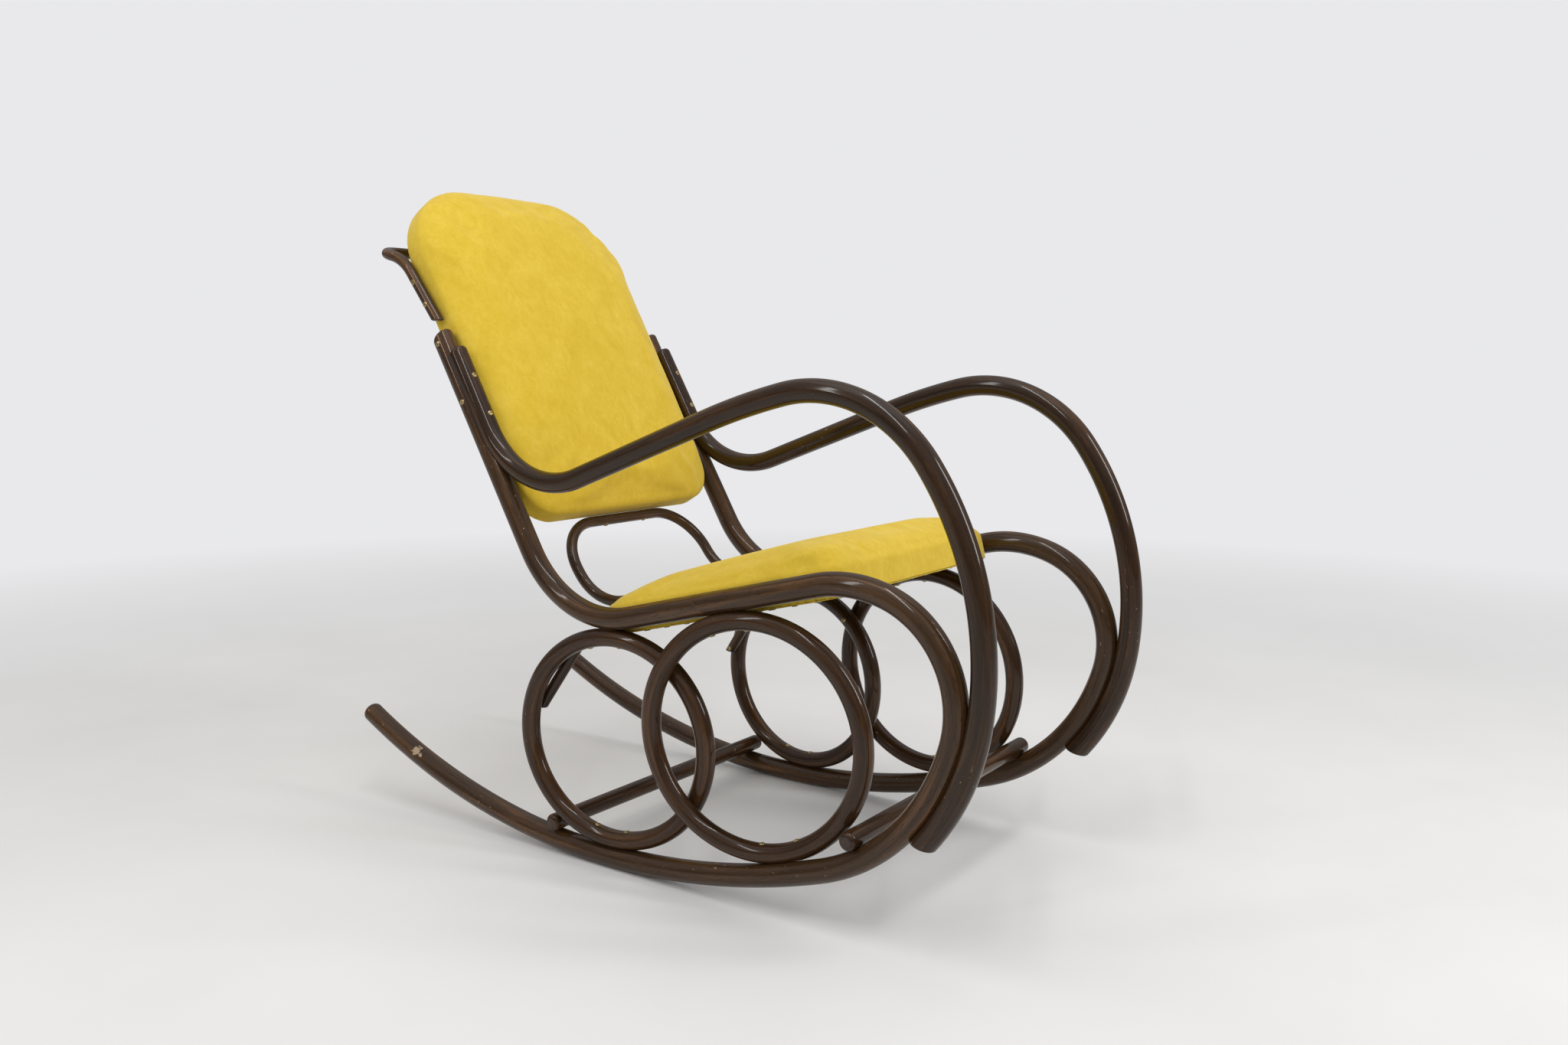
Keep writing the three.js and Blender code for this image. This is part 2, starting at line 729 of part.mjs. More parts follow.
// The hoop under the back: a bar, two round corners and two legs that bend forward onto the seat frame
const hoopLean = rad(hoopLeanDeg);
const hoopDown = new THREE.Vector3(0, -Math.cos(hoopLean), -Math.sin(hoopLean));
const hoopBarUp = backBottom - clearance - hoopRodRadius;
const hoopStart = onBack(0, hoopBarUp, -hoopBehindPosts);
const hoopBendTurn = hoopLean - railHeading;
const hoopBendInward = new THREE.Vector3(-1, 0, 0).cross(hoopDown);
const hoopBendTravel = hoopDown.clone().multiplyScalar(Math.sin(hoopBendTurn))
  .addScaledVector(hoopBendInward, 1 - Math.cos(hoopBendTurn));
const hoopLegTop = hoopStart.clone().addScaledVector(hoopDown, hoopCornerRadius + hoopLegLength);
const hoopLegAbove = seatFrameTop + clearance + hoopRodRadius;
const fromRailRear = hoopLegTop.clone().sub(onSeat(0, 0, 0));
const hoopBendRadius = (hoopLegAbove - fromRailRear.dot(seatUp)) / hoopBendTravel.dot(seatUp);
const hoopBendEnd = fromRailRear.addScaledVector(hoopBendTravel, hoopBendRadius).dot(seatForward);
const hoopLegOnFrame = seatOutline.start + frameInset + seatFrameWidth - hoopBendEnd;
function hoopStations(radius) {
  return bothHalves(bentStations({
    centre: hoopStart,
    along: new THREE.Vector3(1, 0, 0),
    across: hoopDown,
  }, [
    { length: hoopWidth / 2 - hoopCornerRadius },
    { about: new THREE.Vector3(1, 0, 0).cross(hoopDown), radius: hoopCornerRadius, turnDeg: deg(quarterTurn) },
    { length: hoopLegLength },
    { about: new THREE.Vector3(-1, 0, 0), radius: hoopBendRadius, turnDeg: deg(hoopBendTurn) },
    { length: hoopLegOnFrame },
  ], radius));
}

// The handle behind the back: two arms up the sides of the back, swept rearward into a crossbar
const handleX = panelHalfWidth + clearance + handleRodRadius;
const handleSlant = rad(handleSlantDeg);
const handleAlong = backUp.clone().multiplyScalar(Math.cos(handleSlant))
  .addScaledVector(backAhead, -Math.sin(handleSlant));
const handleStart = onBack(handleX, postLength + handleFootAbovePosts, -handleFootBehindPosts);
const handleSwept = handleAlong.clone().applyAxisAngle(new THREE.Vector3(-1, 0, 0), rad(handleSweepDeg));
const handleHalf = bentStations({
  centre: handleStart,
  along: handleAlong,
  across: new THREE.Vector3(1, 0, 0).cross(handleAlong),
}, [
  { length: handleArmLength },
  { about: new THREE.Vector3(-1, 0, 0), radius: handleSweepRadius, turnDeg: handleSweepDeg },
  { about: handleSwept.clone().cross(new THREE.Vector3(-1, 0, 0)), radius: handleCornerRadius,
    turnDeg: deg(quarterTurn) },
  { length: handleX - handleCornerRadius },
], handleRodRadius);
handleHalf[0].slant = Math.tan(rad(handleFootSlantDeg));
const handleStations = bothHalves(handleHalf.toReversed().map((station) => ({
  ...station, up: station.up.clone().negate(),
})));

// The stays: short straight rods from the inner faces of the rear rings up to the underside of the seat
const stayInward = -(ringRodRadius + stayRodRadius + clearance);
const stayTip = onRing(rings.rear, rad(stayTipDeg), rings.rear.radius, stayInward);
const stayAlong = onRing(rings.rear, rad(stayCrossDeg), rings.rear.radius, stayInward).sub(stayTip).normalize();
const stayTipUnderSeat = seatRim - clearance - stayTip.clone().sub(onSeat(0, 0, 0)).dot(seatUp);
const stayLength = stayTipUnderSeat / stayAlong.dot(seatUp);
const onStay = (distance) => stayTip.clone().addScaledVector(stayAlong, distance);
const stayStations = [0, stayLength + stayRodRadius * 2].map((distance) => ({
  centre: onStay(distance),
  across: ringOutward,
  up: new THREE.Vector3().crossVectors(stayAlong, ringOutward),
  radius: stayRodRadius,
}));
const underSeat = plate({ ...seatOutline, halfWidth: sideX }, 0, seatRim - clearance, seatCrownAboveRail, onSeat);

// The screws of one side, with the pieces whose holes they need
const leftScrews = [];
function addScrew(name, surface, direction, depth, holed) {
  leftScrews.push({ name, holed, ...makeScrew(surface, direction, depth) });
}
const inwardX = new THREE.Vector3(-1, 0, 0);
const intoPanel = coverThickness + clearance + clearance + screwBite;
for (const [index, name] of ['screw_post_top', 'screw_post_mid'].entries()) {
  const up = postLength - postScrewTopInset - postScrewPitch * index;
  addScrew(name, onBack(sideX + frameRodRadius, up, 0), inwardX, frameRodRadius * 2 + intoPanel,
    ['side_post', 'back_cushion', 'back_frame']);
}
for (const [index, name] of ['screw_arm_top', 'screw_arm_low'].entries()) {
  const up = armRearEnd - armScrewInset - armScrewPitch * index;
  const front = armOnPost + armRearRodRadius;
  addScrew(name, onBack(sideX, up, front), backAhead.clone().negate(), front - frameRodRadius + screwBite,
    ['arm', 'side_post']);
}
for (const [index, name] of ['screw_handle_low', 'screw_handle_top'].entries()) {
  const climbed = handleScrewInset + handleScrewPitch * index;
  const surface = handleStart.clone().addScaledVector(handleAlong, climbed);
  surface.x += handleRodRadius;
  addScrew(name, surface, inwardX, handleRodRadius * 2 + intoPanel,
    ['head_handle', 'back_cushion', 'back_frame']);
}
const stayScrewHead = onStay(stayScrewFromTip).addScaledVector(ringOutward, -stayRodRadius);
addScrew('screw_stay', stayScrewHead, ringOutward,
  stayRodRadius * 2 + clearance + screwBite, ['seat_stay', 'ring_rear']);
const crossingAt = solve(0, quarterTurn, (angle) => fromRing(rings.front,
  onRing(rings.rear, Math.PI - angle, rings.rear.radius, 0)) - rings.front.radius);
addScrew('screw_ring_crossing', onRing(rings.rear, Math.PI - crossingAt, rings.rear.radius, -ringRodRadius),
  ringOutward, ringRodRadius * 2 + clearance + screwBite, ['ring_rear', 'ring_front']);
// The front ring's upper screws stand at the scarf, so both halves of the rail are drilled for them.
for (const [place, ring, shiftDeg] of [
  ['rear', rings.rear, rearRingScrewShiftDeg],
  ['front', rings.front, frontRingScrewShiftDeg],
]) {
  for (const [end, contact, turned] of [['foot', ring.belowAngle, 1], ['top', ring.aboveAngle, -1]]) {
    for (const [side, spread] of [['back', 1], ['front', -1]]) {
      const angle = contact + turned * rad(shiftDeg + spread * ringScrewSpreadDeg);
      const outward = onRing(ring, angle, 1, 0).sub(ring.centre).normalize();
      addScrew(`screw_ring_${place}_${end}_${side}`, onRing(ring, angle, ring.radius - ringRodRadius, 0),
        outward, ringRodRadius * 2 + screwBite, [`ring_${place}`, 'side_runner', 'side_post']);
    }
  }
}
const middleScrews = [['left', 1], ['right', -1]].map(([side, sign]) => ({
  name: `screw_hoop_${side}`,
  ...makeScrew(onBack(sign * hoopScrewPitch / 2, hoopBarUp - hoopRodRadius, -hoopBehindPosts), backUp,
    hoopRodRadius * 2 + intoPanel),
}));

const sideHoles = (piece) => leftScrews.filter(({ holed }) => holed.includes(piece)).map(({ hole }) => hole);
const bothHoles = (piece) => sideHoles(piece).flatMap((hole) => [hole, mirrored(hole)]);
const hoopHoles = middleScrews.map(({ hole }) => hole);

// The side frames: two rods joined by a slanted scarf under the seat
const frameDome = frameRodRadius * rodDomeShare;
const scarfSlant = Math.tan(rad(scarfSlantDeg));
const scarfHalfGap = clearance / 2 / Math.cos(rad(scarfSlantDeg));
const frameRadiusAt = () => frameRodRadius;
addPair('side_post', cut(flatRod(frameRoute, sideX, frameRadiusAt, {
  from: scarfAt + scarfHalfGap,
  slantStart: scarfSlant,
  slantEnd: Math.tan(rad(postTopSlantDeg)),
}), sideHoles('side_post')), wood.post);
addPair('side_runner', cut(flatRod(frameRoute, sideX, frameRadiusAt, {
  from: frameDome,
  to: scarfAt - scarfHalfGap,
  slantEnd: scarfSlant,
  startDome: frameDome,
}), sideHoles('side_runner')), wood.post);

const armDome = armRearRodRadius * rodDomeShare;
addPair('arm', cut(flatRod(armRoute, sideX, armRadiusAt, {
  to: armRoute.length - armDome,
  slantStart: Math.tan(rad(armFootSlantDeg)),
  endDome: armDome,
}), [frameCutter, ...sideHoles('arm')]), wood.post);

for (const place of ['rear', 'front']) {
  addPair(`ring_${place}`, cut(ringSkin(rings[place], ringRodRadius), [frameCutter,
    ...sideHoles(`ring_${place}`)]), wood.ring);
}
add('stretcher_rear', stretcher(stretcherCentre(rings.rear, 0)), wood.ring);
add('stretcher_front', stretcher(stretcherCentre(rings.front, lowerRoute.length)), wood.ring);
addPair('seat_stay', cut(rodSkin(stayStations), [underSeat, ...sideHoles('seat_stay')]), wood.ring);
add('back_hoop', cut(rodSkin(hoopStations(hoopRodRadius)), hoopHoles), wood.post);
add('head_handle', cut(rodSkin(handleStations), bothHoles('head_handle')), wood.post);

// The seat, from the dust cover up
const strapReach = panelHalfWidth - coverThickness - strapFromEdge;
const betweenLegs = hoopWidth / 2 - hoopRodRadius - clearance;
const seatStrapStart = seatOutline.start + frameInset + seatFrameWidth;
add('seat_lining', plate(seatOutline, frameInset, seatRim, seatRim + liningThickness, onSeat), lining);
add('seat_frame', openFrame(seatOutline, frameInset, seatFrameWidth, -seatFrameBelowRail, seatFrameTop,
  onSeat), wood.inner);
add('seat_webbing', webbing(
  [-strapReach, strapReach],
  [seatOutline.start + coverThickness + strapFromEdge, seatOutline.end - coverThickness - strapFromEdge],
  evenPlaces(-betweenLegs, betweenLegs, 3),
  evenPlaces(seatStrapStart, seatOutline.end - frameInset - seatFrameWidth, 3),
  seatFrameTop + clearance, onSeat,
), jute);
add('seat_cushion', cut(upholstery(seatOutline, {
  rim: seatRim,
  sides: [seatRearSideAboveRail, seatFrontSideAboveRail],
  crown: seatCrownAboveRail,
  roof: seatFrameTop + foamAboveFrame,
}, onSeat), [rodSkin(hoopStations(hoopRodRadius + clearance))]), velvet);

// The back, from its rear cover forward
const backMargin = frameInset + backFrameWidth;
add('back_rear_cover', plate(backOutline, frameInset, backRim, backRim + liningThickness, onBack), velvet);
add('back_frame', cut(openFrame(backOutline, frameInset, backFrameWidth, -backFrameBehindPosts,
  backFrameFront, onBack), [...bothHoles('back_frame'), ...hoopHoles]), wood.inner);
add('back_webbing', webbing(
  [-strapReach, strapReach],
  [backOutline.start + coverThickness + strapFromEdge, backOutline.end - coverThickness - strapFromEdge],
  evenPlaces(backMargin - panelHalfWidth, panelHalfWidth - backMargin, 2),
  evenPlaces(backOutline.start + backMargin, backOutline.end - backMargin, 4),
  backFrameFront + clearance, onBack,
), jute);
add('back_cushion', cut(upholstery(backOutline, {
  rim: backRim,
  sides: [backSideAheadPosts, backSideAheadPosts],
  crown: backCrownAheadPosts,
  roof: backFrameFront + foamAboveFrame,
}, onBack), [...bothHoles('back_cushion'), ...hoopHoles]), velvet);

for (const { name, geometry } of leftScrews) addPair(name, geometry, brass);
for (const { name, geometry } of middleScrews) add(name, geometry, brass);

// The chair is set down with its runners on the floor and its middle over the origin.
const box = new THREE.Box3();
for (const { geometry } of pieces) box.union(new THREE.Box3().setFromBufferAttribute(geometry.attributes.position));
const chair = new THREE.Group();
chair.name = 'bentwood_rocking_chair';
for (const { name, geometry, material } of pieces) {
  geometry.translate(0, -(box.min.y + box.max.y) / 2, -box.min.z);
  geometry.computeVertexNormals();
  const mesh = new THREE.Mesh(geometry, material.clone());
  mesh.name = name;
  chair.add(mesh);
}

export default chair;
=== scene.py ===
import math
from functools import partial

import bpy
import numpy as np
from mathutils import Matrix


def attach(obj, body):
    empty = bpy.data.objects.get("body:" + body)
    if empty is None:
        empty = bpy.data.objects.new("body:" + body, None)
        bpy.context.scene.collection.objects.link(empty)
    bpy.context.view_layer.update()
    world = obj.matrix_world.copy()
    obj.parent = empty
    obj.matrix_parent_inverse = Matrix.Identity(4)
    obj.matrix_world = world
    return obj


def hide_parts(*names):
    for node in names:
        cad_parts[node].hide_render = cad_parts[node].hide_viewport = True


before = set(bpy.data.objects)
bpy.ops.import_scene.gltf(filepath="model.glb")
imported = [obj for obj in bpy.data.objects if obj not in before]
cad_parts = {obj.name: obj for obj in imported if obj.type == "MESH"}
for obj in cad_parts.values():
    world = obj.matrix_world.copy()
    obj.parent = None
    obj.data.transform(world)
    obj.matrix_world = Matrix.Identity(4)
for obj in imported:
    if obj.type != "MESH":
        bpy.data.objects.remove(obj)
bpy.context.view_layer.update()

# A steam-bent beech rocking chair, upholstered in velvet.
# Shapes are worked out in millimetres where they are drawn; intoScene moves them over the origin.
print("frame loaded")

place = {
    "shift": np.array([0, 36.5459, -1.3152]),  # from the drawing to over the origin, down onto the floor
    "sideX": 240.0,  # the side frames stand this far from the middle
    "gap": 0.3,  # air left between pieces that touch
}
axisX, axisY, axisZ = np.eye(3)
otherSide = np.array([-1, 1, 1])


def intoScene(points):  # millimetres in the drawing to metres over the origin
    return (points + place["shift"]) / 1000


def intoDrawing(points):  # and back
    return points * 1000 - place["shift"]


def sideView(degrees):  # a direction seen from the side, turned up from straight back
    return np.array([0, math.cos(math.radians(degrees)), math.sin(math.radians(degrees))])


def slope(degrees):
    return math.tan(math.radians(degrees))


# Colours and nodes

def linear(hexColour):  # sRGB: below 0.04045 c / 12.92, else ((c + 0.055) / 1.055) ^ 2.4
    c = np.array([int(hexColour[i:i + 2], 16) for i in (1, 3, 5)]) / 255
    return (*np.where(c <= 0.04045, c / 12.92, ((c + 0.055) / 1.055) ** 2.4).tolist(), 1.0)


def setInputs(node, inputs):  # an input takes a node's output, a hex colour, a number or a list of numbers
    for socket, value in inputs.items() if isinstance(inputs, dict) else enumerate(inputs):
        if isinstance(value, bpy.types.NodeSocket):
            node.id_data.links.new(value, node.inputs[socket])
        else:
            node.inputs[socket].default_value = linear(value) if isinstance(value, str) else value


def addNode(tree, kind, inputs=(), output=0, stops=(), **settings):
    # inputs go by name or in their order; stops are a colour ramp's places and hex colours
    node = tree.nodes.new("ShaderNode" + kind)
    for name, value in settings.items():
        setattr(node, name, value)
    setInputs(node, inputs)
    for _ in stops[2:]:
        node.color_ramp.elements.new(0.5)
    for index, (at, colour) in enumerate(stops):
        node.color_ramp.elements[index].position = at
        node.color_ramp.elements[index].color = linear(colour)
    return node.outputs[output] if len(node.outputs) else node


def newMaterial(name):
    material = bpy.data.materials.new(name)
    material.use_nodes = True
    return material, partial(addNode, material.node_tree), material.node_tree.nodes["Principled BSDF"]


def pattern(add, coords, size, detail, rough, warp=0.0, shift=(0, 0, 0)):
    # blotches of a real size, in millimetres on each axis
    cells = add("Mapping", {"Vector": coords, "Scale": [1000 / s for s in size], "Location": shift})
    return add("TexNoise", {"Vector": cells, "Scale": 1.0, "Detail": detail, "Roughness": rough,
                            "Distortion": warp}, "Fac")


# Steam-bent beech, walnut stain under brushed gloss lacquer: dark brown with amber streaks that run
# along the rod, short darker flecks, and highlights that waver where the lacquer was brushed.
def stainedBeech(name, look):
    material, add, shader = newMaterial(name)
    # the rod as it was before bending: x runs along it, y and z across, in metres
    grain = add("Attribute", output="Vector", attribute_name="straightened")
    figure = pattern(add, grain, (200, 11, 11), 4.0, 0.62, 0.35)
    fibre = pattern(add, grain, (45, 1.6, 1.6), 3.0, 0.6)
    fleck = pattern(add, grain, (9, 1.9, 1.9), 1.0, 0.4, 0.0, (3.1, 0.7, 1.9))
    cloud = pattern(add, grain, (110, 90, 90), 2.0, 0.5, 0.0, (7.7, 2.2, 0.4))
    tone = add("Mix", {0: 0.28, 2: figure, 3: fibre})
    wood = add("ValToRGB", [tone], stops=[(0.34, look["dark"]), (0.5, look["middle"]),
                                          (0.6, look["warm"]), (0.74, look["amber"])])
    for source, low, high, most, colour in ((fleck, 0.6, 0.72, 0.55, look["fleck"]),
                                            (cloud, 0.35, 0.65, 0.45, look["middle"])):
        share = add("MapRange", [source, low, high, 0.0, most])
        wood = add("Mix", {0: share, 6: wood, 7: colour}, 2, data_type="RGBA")
    # scuffs: the stain worn through in small dashes, drawn a little larger than life
    dashes = pattern(add, grain, (12, 3.5, 3.5), 2.0, 0.7, 0.6, (1.3, 5.1, 4.4))
    dashes = add("MapRange", [dashes, look["wornFrom"], look["wornFrom"] + 0.035])
    where = pattern(add, grain, (190, 50, 50), 1.0, 0.5, 0.0, (9.3, 6.2, 8.8))
    where = add("MapRange", [where, 0.55, 0.62])
    wearAndGlare = add("Math", [dashes, where], operation="MULTIPLY")
    # painted highlight: pale patches that stand in for a lamp's glare on the lacquer, each a point in metres
    # and a size, with a ragged edge; they take the scuffs' pale colour, roughness and dip
    ragged = pattern(add, grain, (9, 6, 6), 2.0, 0.6, 0.0, (5.5, 8.1, 2.6))
    for middle, size in look["knocks"]:
        away = add("VectorMath", [add("TexCoord", output="Object"), middle], "Value", operation="DISTANCE")
        shifted = add("MapRange", [ragged, 0.3, 0.7, -0.4 * size, 0.4 * size])
        edge = add("Math", [away, shifted], operation="ADD")
        paintedGlare = add("MapRange", [edge, size * 0.8, size, 1.0, 0.0])
        wearAndGlare = add("Math", [wearAndGlare, paintedGlare], operation="MAXIMUM")
    # the pale colour covers both the real scuffs and the painted highlight patches
    bare = add("Math", [wearAndGlare, 0.7], operation="MULTIPLY")
    wood = add("Mix", {0: bare, 6: wood, 7: look["bare"]}, 2, data_type="RGBA")
    smears = pattern(add, grain, (50, 20, 20), 3.0, 0.55, 0.0, (2.2, 3.3, 1.1))
    gloss = add("MapRange", [smears, 0.3, 0.7, look["roughness"] - 0.05, look["roughness"] + 0.09])
    gloss = add("Math", [wearAndGlare, 0.3, gloss], operation="MULTIPLY_ADD")
    waves = pattern(add, grain, (35, 8, 8), 2.0, 0.5, 0.0, (4.4, 0.2, 7.1))
    sunk = add("Math", [wearAndGlare, -1.0], operation="MULTIPLY")
    surface = {}
    for height, distance, strength in ((waves, 0.00012, 0.8), (fibre, 0.00006, 0.55), (sunk, 0.00015, 0.8)):
        bump = {"Height": height, "Distance": distance, "Strength": strength}
        surface = {"Normal": add("Bump", bump | surface)}
    coat = add("Bump", {"Height": waves, "Distance": 0.00004, "Strength": 0.7})
    setInputs(shader, {
        "Base Color": wood, "Roughness": gloss, "IOR": 1.5, "Specular IOR Level": 0.06, **surface,
        "Coat Weight": look["coat"], "Coat Roughness": 0.1, "Coat IOR": 1.5, "Coat Normal": coat,
    })
    return material


# Sawn end of the same beech: the stain soaks in, so it is darker and duller, with fine pores.
def endGrain(name, look):
    material, add, shader = newMaterial(name)
    grain = add("Attribute", output="Vector", attribute_name="straightened")
    pores = pattern(add, grain, (3, 1.2, 1.2), 3.0, 0.6)
    rays = add("MapRange", [pattern(add, grain, (20, 1.2, 11), 2.0, 0.5), 0.5, 0.7, 0.0, 0.6])
    wood = add("ValToRGB", [pores], stops=[(0.35, look["dark"]), (0.65, look["light"])])
    setInputs(shader, {
        "Base Color": add("Mix", {0: rays, 6: wood, 7: look["ray"]}, 2, data_type="RGBA"),
        "Normal": add("Bump", {"Height": pores, "Distance": 0.0001, "Strength": 0.6}), "Roughness": 0.42,
    })
    return material


# Short-pile velvet, woven and dyed: each patch of pile leans its own way, so the yellow is mottled,
# with faint brush strokes down the nap and a soft pale sheen where the surface turns away.
def velvet(name, look):
    material, add, shader = newMaterial(name)
    nap = add("Mapping", {"Vector": add("TexCoord", output="Object"), "Rotation": look["napTurn"]})
    # z runs down the nap; the pile is drawn about twice as coarse as it is, so that it shows
    patches = pattern(add, nap, (50, 50, 60), 5.0, 0.6, 0.9)
    strokes = pattern(add, nap, (9, 9, 13), 3.0, 0.6, 0.5, (2.0, 5.0, 1.0))
    pile = pattern(add, nap, (2.2, 2.2, 3.2), 3.0, 0.7, 0.0, (6.0, 1.0, 3.0))
    lean, surface = 0.0, {}
    for source, share, distance, strength in ((patches, 0.42, 0.0008, 0.1), (strokes, 0.33, 0.0003, 0.2),
                                              (pile, 0.25, 0.0003, 0.5)):
        lean = add("Math", [source, share, lean], operation="MULTIPLY_ADD")
        bump = {"Height": source, "Distance": distance, "Strength": strength}
        surface = {"Normal": add("Bump", bump | surface)}
    stops = [(0.34, look["deep"]), (0.5, look["middle"]), (0.66, look["light"])]
    setInputs(shader, {
        "Base Color": add("ValToRGB", [lean], stops=stops), **surface, "Roughness": 0.92,
        "Specular IOR Level": 0.15,
        "Sheen Weight": look["sheen"], "Sheen Roughness": 0.4, "Sheen Tint": look["tint"],
    })
    return material


# Plain fabrics under the covers: spun-bonded dust cloth and woven jute straps.
def wovenCloth(name, look):
    material, add, shader = newMaterial(name)
    spot = add("TexCoord", output="Object")
    along = pattern(add, spot, (30, look["thread"], look["thread"]), 2.0, 0.6)
    across = pattern(add, spot, (look["thread"], 30, 30), 2.0, 0.6)
    weave = add("Mix", {0: 0.5, 2: along, 3: across})
    setInputs(shader, {
        "Base Color": add("ValToRGB", [weave], stops=[(0.4, look["deep"]), (0.6, look["light"])]),
        "Normal": add("Bump", {"Height": weave, "Distance": 0.0005, "Strength": 0.7}),
        "Roughness": 0.9, "Specular IOR Level": 0.2,
    })
    return material


# Turned and slotted brass wood screws, dulled by air: pale yellow metal with browner patches.
def dullMetal(name, look):
    material, add, shader = newMaterial(name)
    tarnish = pattern(add, add("TexCoord", output="Object"), (3, 3, 3), 4.0, 0.65)
    setInputs(shader, {
        "Base Color": add("ValToRGB", [tarnish], stops=[(0.35, look["dull"]), (0.6, look["bright"])]),
        "Roughness": add("MapRange", [tarnish, 0.3, 0.7, look["roughness"] + 0.14, look["roughness"]]),
        "Normal": add("Bump", {"Height": tarnish, "Distance": 0.00005, "Strength": 0.4}), "Metallic": 1.0,
    })
    return material


# Planed softwood of the hidden frames.
def rawWood(name, look):
    material, add, shader = newMaterial(name)
    grain = pattern(add, add("TexCoord", output="Object"), (4, 90, 6), 4.0, 0.6, 0.4)
    setInputs(shader, {
        "Base Color": add("ValToRGB", [grain], stops=[(0.38, look["deep"]), (0.62, look["light"])]),
        "Normal": add("Bump", {"Height": grain, "Distance": 0.0002, "Strength": 0.5}), "Roughness": 0.65,
    })
    return material


lacquer = {"wornFrom": 0.69, "roughness": 0.3, "coat": 0.55, "knocks": []}
# One beech in three copies. The frames' copy is painted lighter, as painted light where surfaces face the
# lamps. The arms' copy is painted darker, as painted shade on their sides. The rings, stays and stretchers
# take a tone between.
postBeech = stainedBeech("steamBentBeechWalnutLacquer", {
    **lacquer, "dark": "#24170d", "middle": "#3d2a18", "warm": "#553a21", "amber": "#7b532a",
    "fleck": "#1e1209", "bare": "#b9a488",
    # painted highlight: two pale patches near a runner's rear tip stand in for a lamp's glare
    "knocks": [((-0.2508, 0.4495, 0.1034), 0.008), ((-0.2530, 0.4385, 0.0978), 0.004)],
})
armBeech = stainedBeech("steamBentBeechArmLacquer", {
    **lacquer, "dark": "#1c1108", "middle": "#2d1d0f", "warm": "#412a15", "amber": "#65421d",
    "fleck": "#170d06", "bare": "#a58a68",
})
ringBeech = stainedBeech("steamBentBeechRingLacquer", {
    **lacquer, "dark": "#20140b", "middle": "#362313", "warm": "#4c321a", "amber": "#744c23",
    "fleck": "#1b1109", "bare": "#a78c6a", "wornFrom": 0.7,
})
sawnBeech = endGrain("sawnBeechEndStained", {"dark": "#1d120b", "light": "#3a2719", "ray": "#543a26"})
yellowVelvet = {"deep": "#c2a22c", "middle": "#cbac36", "light": "#d4b646", "sheen": 0.3, "tint": "#fff4c0"}
seatVelvet = velvet("velvetSeatBrushed", {**yellowVelvet, "napTurn": (math.radians(76), 0, 0)})
backVelvet = velvet("velvetBackBrushed", {**yellowVelvet, "napTurn": (math.radians(30), 0, 0)})
dustCloth = wovenCloth("spunBondedDustCloth", {"thread": 1.2, "deep": "#151413", "light": "#2b2927"})
juteStrap = wovenCloth("wovenJuteStrap", {"thread": 2.2, "deep": "#7d6238", "light": "#b3925c"})
agedBrass = dullMetal("brassTurnedAged", {"dull": "#7d6a45", "bright": "#c9b482", "roughness": 0.28})
stapleSteel = dullMetal("steelWireGalvanised", {"dull": "#77787a", "bright": "#b5b6b8", "roughness": 0.35})
frameWood = rawWood("spruceFramePlaned", {"deep": "#9c7747", "light": "#c9a672"})
print("materials made")


# Meshes from grids of points

def gridFaces(rows, columns, closedRows=False):
    # quads between neighbouring rows; the columns always close on themselves
    i, j = np.meshgrid(np.arange(rows if closedRows else rows - 1), np.arange(columns), indexing="ij")
    i, j = i.ravel(), j.ravel()
    nextI, nextJ = (i + 1) % rows, (j + 1) % columns
    return np.stack([i * columns + j, i * columns + nextJ, nextI * columns + nextJ, nextI * columns + j], 1)


def closedSkin(rows):  # rings of points joined in their order, with a cap at both ends
    grid = np.stack(rows)
    n = grid.shape[1]
    caps = [list(range(n))[::-1], [(len(grid) - 1) * n + k for k in range(n)]]
    return grid.reshape(-1, 3), gridFaces(len(grid), n).tolist() + caps


def outwardFaces(points, faces):
    # the sign of the enclosed volume says whether the faces point out
    quads = np.array([f for f in faces if len(f) == 4])
    a, b, c, d = (points[quads[:, k]] for k in range(4))
    volume = np.sum(np.cross(b - a, c - a) * a) + np.sum(np.cross(c - a, d - a) * a)
    return faces if volume > 0 else [list(face)[::-1] for face in faces]


def newPiece(name, node, slot, materials, points, faces, straight=None, faceMaterial=None, sharpDeg=0,
             smooth=True):
    mesh = bpy.data.meshes.new(name)
    mesh.from_pydata(intoScene(points).tolist(), [], outwardFaces(points, faces))
    mesh.polygons.foreach_set("use_smooth", np.full(len(mesh.polygons), smooth))
    for material in materials:
        mesh.materials.append(material)
    if straight is not None:
        mesh.polygons.foreach_set("material_index", np.asarray(faceMaterial, np.int32))
        attribute = mesh.attributes.new("straightened", "FLOAT_VECTOR", "POINT")
        attribute.data.foreach_set("vector", (straight / 1000).astype(np.float32).ravel())
    mesh.update()
    if sharpDeg:
        mesh.set_sharp_from_angle(angle=math.radians(sharpDeg))
    piece = bpy.data.objects.new(name, mesh)
    bpy.context.scene.collection.objects.link(piece)
    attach(piece, "root")
    if node:
        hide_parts(node)
    return piece


def coordinates(mesh):
    co = np.zeros(len(mesh.vertices) * 3, np.float32)
    mesh.vertices.foreach_get("co", co)
    return co.reshape(-1, 3).astype(float)


def setCoordinates(mesh, co):
    mesh.vertices.foreach_set("co", co.astype(np.float32).ravel())
    mesh.update()


